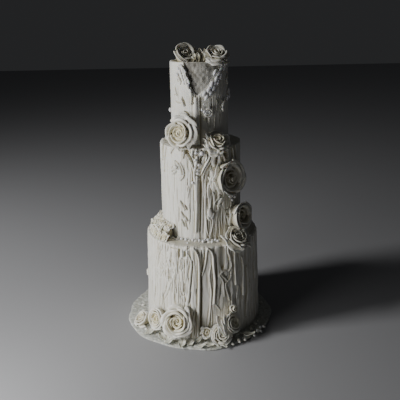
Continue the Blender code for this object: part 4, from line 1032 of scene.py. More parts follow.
@dataclass
class UpperTier(Tier):
    """The top tier, smooth, with an open V-shaped neckline.

    Attributes:
        neck_depth: How far it is set back inside the neckline, on the left and on the right.
        neck: Distance to the right of the middle and height, in millimetres, along its edge.
    """

    neck_depth: Stop = (3.36 * MM, 0.7 * MM)
    neck: tuple[Stop, ...] = (
        (-28.5, 483.7), (-27, 479), (-24, 469.7), (-18.7, 455.7), (-16.6, 441.5), (-12, 432),
        (-6.8, 425.3), (-2.4, 424), (2.5, 427.1), (10.7, 434), (17.4, 444), (22.4, 453.2),
        (29.1, 462.1), (36.8, 475.6))

    def inside_neck(self, azimuth: np.ndarray, height: np.ndarray) -> np.ndarray:
        """Return 1 inside the neckline and 0 outside, with a soft edge."""
        turn = np.radians(azimuth)
        across, rise = np.array(self.neck).T * MM
        edge = np.interp(self.top_radius * np.sin(turn), across, rise)
        return ease((height - edge) / (2.0 * MM) + 0.5) * (np.cos(turn) > 0.0)

    def grey_shade(self, azimuth: np.ndarray, height: np.ndarray) -> np.ndarray:
        """Return how much grey shade is painted inside the neckline, most on its left."""
        mottle = Grain(self.seed + 5, 36, 8 * MM).sample(azimuth, height)
        right = ease((wrapped(azimuth) + 30.0) / 50.0)
        return self.inside_neck(azimuth, height) * (blend(1.0, 0.52, right) + 0.22 * mottle)

    def recess(self, azimuth: np.ndarray, height: np.ndarray) -> np.ndarray:
        """Return how far the side is set back inside the neckline, least on its right."""
        right = ease((wrapped(azimuth) + 25.0) / 50.0)
        return blend(*self.neck_depth, right) * self.inside_neck(azimuth, height)

    def texture(self, relief: Relief) -> None:
        """Shape faint upright lines, and a mottled skin inside the neckline."""
        sway = 2.0 * relief.grain(self.seed, 24, 40 * MM)
        lines = np.abs(relief.grain(self.seed + 1, 80, 80 * MM, sway))
        inside = self.inside_neck(relief.azimuth, relief.level)
        mottle = relief.grain(self.seed + 3, 60, 5.0 * MM)
        mottle += 0.35 * relief.grain(self.seed + 4, 130, 2.6 * MM)
        upright = (0.4 + 0.6 * relief.stretch(90.0, 270.0)) * lines
        relief.height += MM * (upright * (1.0 - inside) + 0.6 * mottle * inside)

    def strokes(self) -> list[Stroke]:
        """Return the wrap's fold, reliefs and drawn lines of the side."""
        draw = random.Random(self.seed)
        rim = self.top / MM
        low = self.base / MM
        strokes = drawn_drips(draw, 88.0, 272.0, 9.0, rim, low + 3.0, (0.5, 1.5), (3.6, 6.5), 0.35)
        drawn = drawn_scratches(draw, -88.0, 272.0, low + 8, rim - 20, 70, (-0.7, 0.6), (1.4, 2.6),
                                (20.0, 60.0))
        strokes += [stroke for stroke in drawn if not self.enters_neck(stroke)]
        return strokes + self.front()

    def enters_neck(self, stroke: Stroke) -> bool:
        """Return whether any stop of a stroke lies inside the neckline."""
        azimuths, heights = np.array(stroke.path).T
        return bool((self.inside_neck(azimuths, heights * MM) > 0.0).any())

    def front(self) -> list[Stroke]:
        """Return the strokes that the front shows one by one."""
        return [
            Stroke(((-7.5, 418), (-8, 403), (-8, 383), (-7.5, 363), (-7, 348)), 11.0, 2.4, Section.SOFT,
                0.7, 0.7, 0.6),
            *ridges(2.8, 3.0, (0.6, 1.0), (-7.5, 383, -4, 373, -3, 362, -4, 351)),
            *cuts(2.4, 2.0, (-10, 378, -7.5, 371, -6.5, 364, -7, 354)),
            *cuts(3.0, 3.4, (-31, 397, -25, 395, -20, 390), (-36, 420, -32, 414, -28.5, 406)),
            *ridges(3.0, 2.4, (0.5, 0.8), (-38, 417, -35, 413, -32, 406),
                (-47.5, 453, -43, 450, -38.5, 447), (-15.5, 424, -15.5, 416, -16.5, 409),
                (-54, 435, -52.5, 428, -49, 422)),
            *cuts(3.4, 3.0, (-12, 412, -11.5, 410)),
            *cuts(2.4, 3.2, (-7, 425, -7, 421), (-40, 451, -37, 445, -39, 440),
                (-47.5, 448, -44.5, 444), (-61, 422, -52.5, 423), (-55, 412, -48, 410, -38.5, 410)),
            *ridges(2.0, 1.6, (0.5, 0.5), (36, 414, 35.5, 403, 35, 394), (31, 385, 30.5, 377, 30, 369),
                (19, 404, 18.5, 389, 18.5, 372), (8.5, 395, 8.5, 381)),
            *cuts(1.6, 1.8, (25, 417, 25, 404, 24.5, 391), (41.5, 421, 40.5, 406),
                (14.5, 395, 13.5, 378), (44, 393, 43, 374)),
        ]


# ---- small dabs


@dataclass(frozen=True)
class Dab:
    """A small dot, petal or shell of icing that is pressed on a surface.

    Attributes:
        place: Azimuth in degrees, distance from the axis and height in millimetres.
        look: Azimuth and elevation that it faces.
        size: Radius in millimetres.
        spin: Degrees that it is turned about the way it faces.
        stretch: Length over width.
        squash: Thickness over width.
        ribs: Number of ribs round it, none for a smooth dab.
    """

    place: tuple[float, float, float]
    look: Stop
    size: float
    spin: float = 0.0
    stretch: float = 1.0
    squash: float = 0.8
    ribs: int = 0

    def add_to(self, bm: Shape) -> None:
        """Add the dab to a bmesh."""
        ball = bmesh.ops.create_icosphere(bm, subdivisions=3, radius=self.size * MM)["verts"]
        for vert in ball:
            co = vert.co
            angle = math.atan2(co.y, co.x)
            rib = 1.0 + (0.09 * math.cos(self.ribs * angle) if self.ribs else 0.0)
            dent = 1.0 + 0.05 * math.sin(3.0 * angle + 9.0 * self.size)
            vert.co = Vector((co.x * rib * dent, co.y * self.stretch * rib, co.z * self.squash))
        azimuth, distance, height = self.place
        spot = polar(azimuth, distance * MM, height * MM)
        bmesh.ops.transform(bm, verts=ball, matrix=frame_at(spot, facing(*self.look), self.spin))


def add_cord(bm: Shape, points: Sequence[Vector], radii: Sequence[float],
             sides: int = 12) -> None:
    """Add a closed round cord along points, grown ring by ring."""
    directions = [(after - before).normalized() for before, after
                  in zip([points[0], *points[:-1]], [*points[1:], points[-1]])]
    start = bmesh.ops.create_circle(bm, cap_ends=True, segments=sides, radius=1.0)["verts"]
    ring = list(start)
    places = [frame_at(point, direction) for point, direction in zip(points, directions)]
    rounds = [(math.cos(2.0 * math.pi * side / sides), math.sin(2.0 * math.pi * side / sides))
              for side in range(sides)]
    for index, (place, radius) in enumerate(zip(places, radii)):
        if index:
            edges = list({edge for vert in ring for edge in vert.link_edges
                          if edge.other_vert(vert) in ring})
            grown = bmesh.ops.extrude_edge_only(bm, edges=edges)["geom"]
            partners = {}
            for edge in {edge for part in grown if isinstance(part, Point)
                         for edge in part.link_edges}:
                for near, far in ((edge.verts[0], edge.verts[1]), (edge.verts[1], edge.verts[0])):
                    if near in ring and far not in ring:
                        partners[near] = far
            ring = [partners[vert] for vert in ring]
        for vert, (x, y) in zip(ring, rounds):
            vert.co = place @ Vector((x * radius, y * radius, 0.0))
    bmesh.ops.contextual_create(bm, geom=ring)


# ---- petals and roses


@dataclass(frozen=True)
class Petal:
    """One thick petal, in its flower's own space, where Z is the way the flower faces.

    Attributes:
        turn: Degrees of its middle about the flower's axis.
        spread: Half its width, in degrees.
        base: Distance from the axis and height of its base, in millimetres.
        rim: Distance from the axis and height of its rim, in millimetres.
        tuck: How much nearer to the axis one side lies than the other.
        curl: How far the rim rolls outwards.
        droop: How far the ends of the rim fall below its middle.
        ruffle: Height of the waves along the rim.
        phase: Where the waves start, in degrees.
        thickness: Thickness at the base and at the rim.
    """

    turn: float
    spread: float
    base: Stop
    rim: Stop
    tuck: float
    curl: float
    droop: float
    ruffle: float
    phase: float
    thickness: Stop

    def point(self, across: float, up: float) -> Vector:
        """Return a point of the petal's middle sheet.

        Args:
            across: Place across the petal, -1 to 1.
            up: Place from base to rim, 0 to 1.
        """
        reach = up ** 1.6
        radius = blend(self.base[0], self.rim[0], 0.55 * up + 0.45 * reach)
        height = blend(self.base[1], self.rim[1], math.sin(0.5 * math.pi * up) ** 0.9)
        height -= self.droop * abs(across) ** 2.6 * up
        lip = max(0.0, (up - 0.62) / 0.38)
        radius += self.curl * lip ** 1.5
        height -= 0.35 * self.curl * lip ** 3
        wave = math.sin(math.radians(self.phase) + 2.6 * across)
        wave += 0.6 * math.sin(math.radians(2.3 * self.phase) + 6.1 * across)
        height += self.ruffle * wave * up * up
        radius += 0.8 * self.ruffle * math.cos(math.radians(self.phase) + 4.3 * across) * up * up
        radius = max(0.35, radius + self.tuck * across)
        fan = math.radians(self.turn + self.spread * across * (0.84 + 0.16 * up))
        return Vector((radius * math.cos(fan), radius * math.sin(fan), height)) * MM

    def add_to(self, bm: Shape, cells: tuple[int, int]) -> list[Point]:
        """Add the petal as a closed, thick shape and return its points."""
        share = vert_layer(bm, SHARE)
        sheet = bmesh.ops.create_grid(bm, x_segments=cells[0], y_segments=cells[1], size=1.0)["verts"]
        faces = faces_of(sheet)
        for vert in sheet:
            across, up = vert.co.x, 0.5 * (vert.co.y + 1.0)
            vert[share] = up
            vert.co = self.point(across, up)
        for face in faces:
            face.normal_update()
        for vert in sheet:
            vert.normal_update()
        normals = {vert: vert.normal.copy() for vert in sheet}
        grown = bmesh.ops.extrude_face_region(bm, geom=faces)["geom"]
        outer = [part for part in grown if isinstance(part, Point)]
        under = {tuple(vert.co): normals[vert] for vert in sheet}
        for vert in outer:
            half = 0.5 * blend(*self.thickness, vert[share]) * MM
            vert.co += under[tuple(vert.co)] * half
        for vert in sheet:
            vert.co -= normals[vert] * 0.5 * blend(*self.thickness, vert[share]) * MM
        bmesh.ops.recalc_face_normals(bm, faces=faces_of(sheet + outer))
        return sheet + outer


@dataclass(frozen=True)
class Ring:
    """One ring of a rose's petals, in shares of the rose's radius and height.

    Attributes:
        radius: Distance of its rims from the middle.
        height: Height of its rims.
        lean: How much nearer to the middle its petals start.
        petals: Number of petals.
        rim: Thickness of its rims, as a share of the rose's.
    """

    radius: float
    height: float
    lean: float
    petals: int
    rim: float = 1.0


TIGHT = (Ring(0.10, 0.85, 0.02, 2), Ring(0.28, 0.95, 0.05, 3), Ring(0.52, 1.0, 0.08, 3),
         Ring(0.74, 0.92, 0.14, 4), Ring(0.97, 0.70, 0.24, 5))


@dataclass
class Rose:
    """A piped rose: rings of thick petals that open outwards from a bud, in millimetres.

    Attributes:
        node: Node that it stands for.
        place: Azimuth in degrees, distance from the axis and height of its middle.
        look: Azimuth and elevation that it faces.
        radius: Radius of its outer petals.
        height: Height from its middle to its highest rim.
        rings: Rings of petals, the innermost first.
        outer: Turn, half spread, reach and rise of each petal that spreads beyond the rings.
        spin: Degrees at which its rings start.
        shade: How much shade is painted down in its cup, 0 to 1.
        ruffle: Height of the waves along its rims.
        rim: Thickness of its rims.
        root: Length of the cone under its petals.
        heart: How cream-yellow its middle is, 0 to 1.
        fill: Height of the cone's top between the petals, as a share.
        cells: Grid of a petal, across and up.
    """

    node: str
    place: tuple[float, float, float]
    look: Stop
    radius: float
    height: float
    rings: tuple[Ring, ...] = TIGHT
    outer: tuple[tuple[float, float, float, float], ...] = ()
    spin: float = 0.0
    shade: float = 0.5
    ruffle: float = 0.7
    rim: float = 2.3
    root: float = 14.0
    heart: float = 0.8
    fill: float = 0.35
    cells: tuple[int, int] = (12, 6)

    def petals(self) -> list[Petal]:
        """Return the petals of every ring, then the ones that spread beyond them."""
        draw = random.Random(self.node)
        petals = []
        turn = self.spin
        for ring in self.rings:
            share = ring.radius
            for index in range(ring.petals):
                petals.append(Petal(
                    turn + 360.0 * index / ring.petals + draw.uniform(-9.0, 9.0),
                    180.0 / ring.petals * draw.uniform(1.18, 1.45),
                    (max(0.5, self.radius * (share - ring.lean)), self.height * blend(0.08, -0.20, share)),
                    (self.radius * share, self.height * ring.height * draw.uniform(0.88, 1.06)),
                    draw.uniform(0.06, 0.11) * self.radius,
                    0.10 * self.radius * share * draw.uniform(0.6, 1.2),
                    self.height * blend(0.10, 0.32, share) * draw.uniform(0.6, 1.2),
                    self.ruffle * draw.uniform(0.6, 1.4) * blend(0.4, 1.0, share),
                    draw.uniform(0.0, 360.0),
                    (blend(2.2, 3.2, share), self.rim * ring.rim * draw.uniform(0.85, 1.15))))
            turn += 180.0 / ring.petals + draw.uniform(-14.0, 14.0)
        for turn, spread, reach, rise in self.outer:
            petals.append(Petal(
                turn, spread, (0.55 * self.radius, -0.25 * self.height),
                (reach * self.radius, rise * self.height), 0.0, 0.12 * self.radius,
                0.25 * self.height, 1.4 * self.ruffle, 3.0 * turn, (3.0, self.rim)))
        return petals

    def core(self, bm: Shape) -> list[Point]:
        """Add the cone of icing that the petals are piped on and return its points."""
        profile = ((0.0, -self.root), (0.60 * self.radius, -self.root),
                   (0.72 * self.radius, -0.4 * self.root), (0.80 * self.radius, -0.12 * self.height),
                   (0.70 * self.radius, (self.fill - 0.16) * self.height),
                   (0.34 * self.radius, (self.fill - 0.04) * self.height),
                   (0.0, self.fill * self.height))
        return revolve(bm, [(radius * MM, height * MM) for radius, height in profile], 28)

    def grow(self, bm: Shape, with_core: bool = True) -> None:
        """Add the whole rose to a bmesh, with its heart tint and painted shade."""
        share, fold, heart = (vert_layer(bm, name) for name in (SHARE, PAINTED_SHADE, HEART_TINT_AND_SHADE))
        verts = []
        if with_core:
            core = self.core(bm)
            for vert in core:
                vert[share] = 0.0
            verts += core
        for petal in self.petals():
            verts += petal.add_to(bm, self.cells)
        rise = self.height * MM
        # The heart's cream tint, and painted shade at each petal's base and down in the cup.
        for vert in verts:
            near = 1.0 - min(1.0, vert.co.xy.length / (self.radius * MM))
            vert[heart] = self.heart * min(1.0, 0.10 + 1.25 * near) * (1.0 - 0.35 * vert[share])
            depth = min(max((0.85 * rise - vert.co.z) / (0.8 * rise), 0.0), 1.0)
            inside = min(1.0, 6.0 * max(0.0, near - 0.08))
            vert[fold] = max(0.85 * (1.0 - vert[share]) ** 1.3, self.shade * depth * inside)
        azimuth, distance, height = self.place
        spot = polar(azimuth, distance * MM, height * MM)
        bmesh.ops.transform(bm, verts=verts, matrix=frame_at(spot, facing(*self.look)))

    def build(self) -> Piece:
        """Build the rose and return its piece."""
        bm = bmesh.new()
        self.grow(bm)
        if self.place[2] < LEDGE_LEVEL:
            settle(bm)
        return finish_piece(self.node + "_petals", bm, Finish.ROSE, self.node, rounds=1)


def settle(bm: Shape) -> None:
    """Press what would sink through the foot icing flat on it."""
    floor = SKIRT_THICKNESS - 0.4 * MM
    for vert in bm.verts:
        if vert.co.z < floor:
            vert.co.z = floor + 0.1 * (vert.co.z - floor)


ROSES = (
    Rose("top_rose_left", (-43.1, 36, 486), (24, 36), 16.5, 12.5,
         (Ring(0.20, 0.95, 0.04, 2, 0.8), Ring(0.42, 0.80, 0.08, 2, 0.8), Ring(0.64, 0.85, 0.12, 3, 0.7),
          Ring(0.86, 1, 0.22, 4, 0.6)),
         ((215, 50, 1.05, 0.7), (290, 40, 1, 0.3)), 150, 0.45, 0.5, 1.7, 12, 0.4, 0.55),
    Rose("top_rose_right", (48.3, 38, 482.6), (14, 58), 17.5, 12,
         (Ring(0.24, 0.95, 0.04, 2, 0.8), Ring(0.54, 0.9, 0.08, 3, 0.7), Ring(0.90, 1, 0.25, 5, 0.6)),
         ((200, 48, 1.25, 0.45), (235, 50, 1.40, 0.25), (280, 50, 1.3, 0.1),
          (255, 46, 1.15, 0.5), (345, 40, 1.15, 0.5)), 40, 0.25, 0.7, 1.8, 12, 0.4, 0.55),
    Rose("waist_rose", (-30.4, 63, 361.8), (-22, 14), 22.5, 14,
         (Ring(0.10, 0.96, 0.01, 2), Ring(0.36, 0.96, 0.04, 2), Ring(0.66, 1, 0.10, 3, 1.2),
          Ring(0.97, 0.74, 0.24, 5, 1.3)),
         ((10, 44, 1.30, 0.45), (55, 40, 1.34, 0.40), (100, 36, 1.24, 0.35),
          (330, 30, 1.18, 0.2)), 200, 0.2, 1, 2.6, 24, 1, 0.8),
    Rose("waist_ruffle", (25.5, 62, 345.5), (22, 50), 17.5, 13,
         (Ring(0.22, 1.05, 0.02, 2, 0.7), Ring(0.46, 1, 0.04, 3, 0.7), Ring(0.72, 0.9, 0.10, 4, 0.7),
          Ring(0.98, 0.6, 0.2, 5, 0.8)),
         ((185, 34, 1.2, 0.55), (215, 34, 1.35, 0.2), (250, 34, 1.2, 0.1),
          (300, 34, 1.15, 0.1), (345, 36, 1.2, 0.3), (20, 36, 1.2, 0.5),
          (150, 30, 1.1, 0.8), (235, 40, 1.35, -0.4)), 20, 0.3, 1.6, 2, 16, 0.9, 0.75),
    Rose("side_rose_upper", (34.8, 76.6, 287.6), (42, 6), 28, 16,
         (Ring(0.10, 1, 0.01, 2, 0.6), Ring(0.30, 0.8, 0.04, 2, 0.6), Ring(0.54, 0.72, 0.08, 3, 0.6),
          Ring(0.80, 0.95, 0.18, 3, 0.8), Ring(0.98, 1, 0.16, 5, 0.6)),
         ((150, 30, 1.02, 0.1), (182, 34, 1.05, -0.1), (212, 30, 1, 0.2),
          (166, 32, 0.96, -0.6), (200, 32, 0.96, -0.7)), 160, 0.45, 0.8, 2.8, 16, 0.6, 0.3),
    Rose("side_rose_lower", (54.5, 80, 214.5), (48, 8), 22.5, 15,
         (Ring(0.14, 0.5, 0.02, 2, 0.8), Ring(0.40, 0.55, 0.04, 2, 0.8), Ring(0.72, 0.95, 0.10, 3, 1.5),
          Ring(0.98, 0.85, 0.16, 4, 0.7)),
         ((170, 34, 1.02, 0), (200, 34, 1, -0.4)), 110, 0.7, 0.6, 2.6, 22, 0.6, 0.15),
    Rose("ledge_rose", (38, 94, 179.7), (46, 54), 21.5, 14,
         (Ring(0.18, 0.85, 0.04, 2, 0.8), Ring(0.42, 0.95, 0.06, 3, 0.8), Ring(0.68, 0.95, 0.10, 3, 0.8),
          Ring(0.95, 0.75, 0.24, 5, 0.9)),
         ((185, 42, 1.30, 0.35), (222, 40, 1.18, 0.15), (262, 40, 1.05, 0.2),
          (330, 36, 1.2, 0.4)), 60, 0.2, 1.5, 2.2, 16, 0.5, 0.6),
    Rose("foot_rose_far_left", (-66.8, 124, 11.2), (-66, 52), 14.5, 9,
         (Ring(0.3, 0.9, 0.04, 2), Ring(0.66, 1, 0.1, 3), Ring(0.97, 0.75, 0.2, 4)),
         ((230, 60, 1.2, 0), (300, 50, 1.2, 0)), root=10, fill=0.5),
    Rose("foot_rose_left", (-45.1, 114, 32.1), (-46, 16), 18.5, 11,
         (Ring(0.30, 0.85, 0.03, 2, 0.9), Ring(0.58, 0.95, 0.06, 2, 0.9), Ring(0.80, 1, 0.1, 3, 0.9),
          Ring(1, 0.85, 0.16, 4, 0.9)), (), 40, 0.3, 1, 2.8, 12, 1, 0.5),
    Rose("foot_rose_large", (-23, 114, 39.7), (-19, 20), 26.5, 17,
         (Ring(0.09, 0.60, 0.01, 2, 0.7), Ring(0.22, 0.72, 0.03, 2, 0.8), Ring(0.36, 0.78, 0.05, 3, 0.9),
          Ring(0.64, 0.97, 0.08, 3, 1.5), Ring(0.84, 0.90, 0.18, 4, 1.3), Ring(1, 0.66, 0.34, 5, 1.2)),
         (), 90, 0.55, 1.7, 3, 16, 0.9, 0.3),
    Rose("foot_rose_small", (2.7, 114, 22.6), (2, 20), 9, 6,
         (Ring(0.35, 0.9, 0.04, 2, 0.8), Ring(0.95, 0.8, 0.2, 3, 0.8)),
         ((250, 40, 1.3, 0.2), (160, 40, 1.3, 0.4)), 0, 0.5, 1.2, 2, 9, 1, 0.5),
    Rose("foot_rose_front", (13.8, 119, 15.6), (14, 42), 18, 12,
         (Ring(0.14, 0.9, 0.02, 2, 0.7), Ring(0.32, 0.97, 0.04, 3, 0.7), Ring(0.50, 1, 0.06, 3, 0.8),
          Ring(0.68, 0.92, 0.08, 4, 0.8), Ring(0.84, 0.78, 0.12, 4, 0.9), Ring(1, 0.55, 0.2, 5)),
         (), 120, 0.3, 0.6, 2, 15, 0.5, 0.6),
    Rose("foot_rose_right", (25, 112.5, 33), (50, 26), 17.5, 11,
         (Ring(0.2, 0.85, 0.03, 2, 0.7), Ring(0.42, 0.95, 0.05, 3, 0.7), Ring(0.64, 1, 0.07, 3, 0.7),
          Ring(0.84, 0.88, 0.10, 4, 0.7), Ring(1, 0.7, 0.16, 4, 0.7)),
         ((150, 36, 1.25, 0.5), (178, 34, 1.42, 0.4), (200, 34, 1.60, 0.1),
          (165, 34, 1.75, -0.2), (225, 30, 1.35, 0)), 10, 0.4, 0.8, 1.9, 14, 0.6, 0.5),
    Rose("foot_bud", (27, 112.5, 60), (30, 20), 7.5, 6.5,
         (Ring(0.4, 1, 0.1, 2, 0.8), Ring(0.9, 0.7, 0.3, 3, 0.8)), root=8),
    Rose("foot_rose_back_left", (232, 114, 27), (232, 20), 22, 12, spin=30),
    Rose("foot_rose_back", (202, 118, 15), (202, 38), 16.5, 9, spin=80, root=12),
    Rose("foot_rose_back_right", (142, 114, 30), (142, 20), 24, 14, spin=10),
    Rose("ledge_rose_back", (178, 92, 186), (178, 44), 20, 13, spin=10, root=16),
)


# ---- leaves


@dataclass(frozen=True)
class Leaf:
    """A thin wavy leaf with a crease and pressed veins, in millimetres.

    Attributes:
        node: Node that it stands for.
        azimuth: Azimuth of its stalk.
        radius: Distance of its stalk from the axis.
        height: Height of what it lies on.
        yaw: Degrees that it is turned from straight outwards.
        length: Length.
        width: Greatest width.
        lift: How far its tip rises.
        pitch: Degrees that it is tipped up.
        shade: How much shade is painted on its lower half, 0 to 2.
    """

    node: str
    azimuth: float
    radius: float
    height: float
    yaw: float
    length: float
    width: float
    lift: float
    pitch: float = 0.0
    shade: float = 0.0

    def point(self, across: float, along: float) -> Vector:
        """Return a point of the leaf's middle sheet, for shares across and along it."""
        half = 0.5 * self.width * math.sin(math.pi * blend(0.12, 0.97, along)) ** 0.85
        side = abs(across)
        rise = self.lift * along * along + 0.5 * math.sin(2.0 * math.pi * along)
        rise += 0.16 * self.width * side - 0.12 * self.width
        rise += 0.07 * self.width * side * math.sin(3.0 * math.pi * along + 1.3 * across)
        rise -= 0.7 * self.vein(across, along)
        return Vector((across * half, along * self.length, rise)) * MM

    def vein(self, across: float, along: float) -> float:
        """Return how deep the pressed veins are at shares across and along the leaf, 0 to 1."""
        side = abs(across)
        return max(0.0, math.sin(2.0 * math.pi * (6.0 * along - 2.2 * side))) * min(1.0, 3.0 * side)

    def add_to(self, bm: Shape) -> None:
        """Add the leaf to a bmesh."""
        fold = vert_layer(bm, PAINTED_SHADE)
        sheet = bmesh.ops.create_grid(bm, x_segments=12, y_segments=30, size=1.0)["verts"]
        # Painted shade along the crease, in the pressed veins and over the lower half.
        for vert in sheet:
            across, along = vert.co.x, 0.5 * (vert.co.y + 1.0)
            vert[fold] = max(0.9 * max(0.0, 1.0 - 3.2 * abs(across)), 0.5 * self.vein(across, along),
                             self.shade * (1.0 - along ** 1.5))
            vert.co = self.point(across, along)
        faces = faces_of(sheet)
        grown = bmesh.ops.extrude_face_region(bm, geom=faces)["geom"]
        upper = [part for part in grown if isinstance(part, Point)]
        bmesh.ops.translate(bm, verts=upper, vec=(0.0, 0.0, 1.4 * MM))
        leaf = sheet + upper
        bmesh.ops.recalc_face_normals(bm, faces=faces_of(leaf))
        turn = Matrix.Rotation(math.radians(self.azimuth + self.yaw + 180.0), 4, "Z")
        tilt = Matrix.Rotation(math.radians(self.pitch), 4, "X")
        bmesh.ops.transform(bm, verts=leaf, matrix=turn @ tilt)
        lowest = min(vert.co.z for vert in leaf)
        bmesh.ops.translate(bm, verts=leaf,
                            vec=polar(self.azimuth, self.radius * MM, self.height * MM - lowest))


def build_leaves(name: str, leaves: Sequence[Leaf], replaced: str) -> Piece:
    """Build one or more leaves as one piece that stands for a node."""
    bm = bmesh.new()
    for leaf in leaves:
        leaf.add_to(bm)
    return finish_piece(name, bm, Finish.LEAF, replaced, rounds=1)


# Heights in millimetres that leaves lie on: the foot icing, and the top of the cake.
ON_SKIRT = 4.3
ON_TOP = 476.2
LEAVES = (
    Leaf("foot_leaf_far_left", -48, 117, ON_SKIRT, -14, 23, 14.3, 2, -14),
    Leaf("foot_leaf_left", -40, 122.5, ON_SKIRT, 66, 20, 12.4, 2, -18),
    Leaf("foot_leaf_centre", -25, 124, ON_SKIRT, -38, 20, 12.4, 1, -17),
    Leaf("foot_leaf_front", -17.5, 121, ON_SKIRT, 4, 21, 13, 1, -17),
    Leaf("foot_leaf_middle", -0.5, 128, ON_SKIRT, 84, 18, 11.2, 2, -10),
    Leaf("foot_leaf_right", 36, 118, ON_SKIRT, 34, 22, 13.6, 6),
    Leaf("foot_leaf_back_right", 163, 112, ON_SKIRT, 10, 25, 15.5, 2, -16),
    Leaf("foot_leaf_back_left", 216, 114, ON_SKIRT, -10, 23, 14.3, 2, -16),
    Leaf("top_leaf_front", 4, 16, ON_TOP, 0, 17, 8, 4, 50),
    Leaf("top_leaf_middle", 0, 3, ON_TOP, 15, 17, 8, 4, 65),
    Leaf("top_leaf_back", 190, 14, ON_TOP, 20, 17, 8, 4, 12),
)

# Smaller leaves among the others: on the foot icing, and upright between the top roses.
FOOT_FOLIAGE = tuple(Leaf("foot_icing", azimuth, radius, ON_SKIRT, yaw, length, 0.6 * length, 1, pitch)
                     for azimuth, radius, length, yaw, pitch in (
                         (-8.3, 118.6, 17, -39, -12), (-1.2, 113, 16, -61, -28),
                         (1.2, 131.8, 15, -84, -13), (9.3, 134, 7.7, 73, -27),
                         (14.2, 133, 10, 23, -18), (-33, 121, 16, 30, -24)))
# The top leaves carry deep painted shade on their lower halves, as the shadow between the top roses.
TOP_FOLIAGE = tuple(Leaf("top_tier", azimuth, radius, ON_TOP - 1, yaw, length, 0.55 * length, 2,
                         pitch, 1.7)
                    for azimuth, radius, length, yaw, pitch in (
                        (-24, 39, 13, -115, 48), (-13, 42, 14, 165, 58),
                        (-2, 43, 15, -172, 66), (9, 42, 15, 160, 60),
                        (20, 40, 13, 110, 52), (-30, 28, 20, -140, 66),
                        (-14, 30, 23, -168, 72), (3, 28, 21, 172, 68),
                        (20, 29, 20, 150, 72), (34, 26, 18, 120, 62),
                        (-6, 35, 12, -50, 30), (12, 35, 12, 55, 32),
                        (150, 10, 15, 20, 50), (-4, 12, 18, 30, 68)))


# ---- blossoms and foot icing


@dataclass(frozen=True)
class BlossomBank:
    """A bank of small ruffled blossoms on the ledge beside the middle tier.

    Attributes:
        node: Node that it stands for.
        first: First azimuth.
        last: Last azimuth.
        count: Number of blossoms.
        reach: How far it stands out from the wall.
        rise: How high it stands on the ledge.
        seed: Seed of its blossoms.
    """

    node: str
    first: float
    last: float
    count: int
    seed: int
    reach: float = 22.0
    rise: float = 24.0

    def build(self) -> Piece:
        """Build the bank and return its piece."""
        draw = random.Random(self.seed)
        bm = bmesh.new()
        wall = MIDDLE_FOOT_RADIUS / MM
        low = BOTTOM_TOP / MM + 0.3
        fold, heart = vert_layer(bm, PAINTED_SHADE), vert_layer(bm, HEART_TINT_AND_SHADE)
        # The fill behind the blossoms is painted as shadow: full shade, partly tinted cream.
        fill = bmesh.ops.create_circle(bm, cap_ends=True, segments=14, radius=1.0)["verts"]
        for vert in fill:
            vert[fold], vert[heart] = 1.0, 0.4
            x = wall + 0.36 * self.reach * (1.0 + vert.co.x)
            z = low + 0.33 * self.rise * (1.0 + vert.co.y)
            vert.co = polar(self.first + 4.0, x * MM, z * MM)
        region = bm.verts[:] + bm.edges[:] + bm.faces[:]
        bmesh.ops.spin(bm, geom=region, cent=(0.0, 0.0, 0.0), axis=(0.0, 0.0, 1.0),
                       dvec=(0.0, 0.0, 0.0), angle=math.radians(self.last - self.first - 8.0),
                       steps=24, use_merge=False, use_duplicate=False)
        bmesh.ops.recalc_face_normals(bm, faces=bm.faces)
        for index in range(self.count):
            level = (index % 3) / 2.0
            azimuth = blend(self.first + 3.5, self.last - 3.5, (index + 0.5) / self.count)
            distance = wall + blend(0.80, 0.20, level) * self.reach + draw.uniform(-0.8, 0.8)
            height = low + blend(0.18, 0.72, level) * self.rise
            look = (azimuth + draw.uniform(-26.0, 26.0), blend(14.0, 62.0, level))
            blossom = Rose("blossom_%d_%d" % (self.seed, index), (azimuth, distance, height), look,
                           draw.uniform(8.4, 11.0), draw.uniform(5.0, 6.6),
                           (Ring(0.30, 0.85, 0.1, 2), Ring(0.62, 0.8, 0.2, 3), Ring(0.98, 0.6, 0.3, 5)),
                           (), draw.uniform(0.0, 360.0), 0.6, 1.7, 1.4, heart=1.0, cells=(8, 4))
            blossom.grow(bm, with_core=False)
        return finish_piece(self.node + "_petals", bm, Finish.ROSE, self.node, rounds=1)


BANKS = (
    BlossomBank("ledge_blossoms_left", -96.0, -40.0, 16, 21),
    BlossomBank("ledge_blossoms_back", 214.0, 246.0, 11, 22),
)


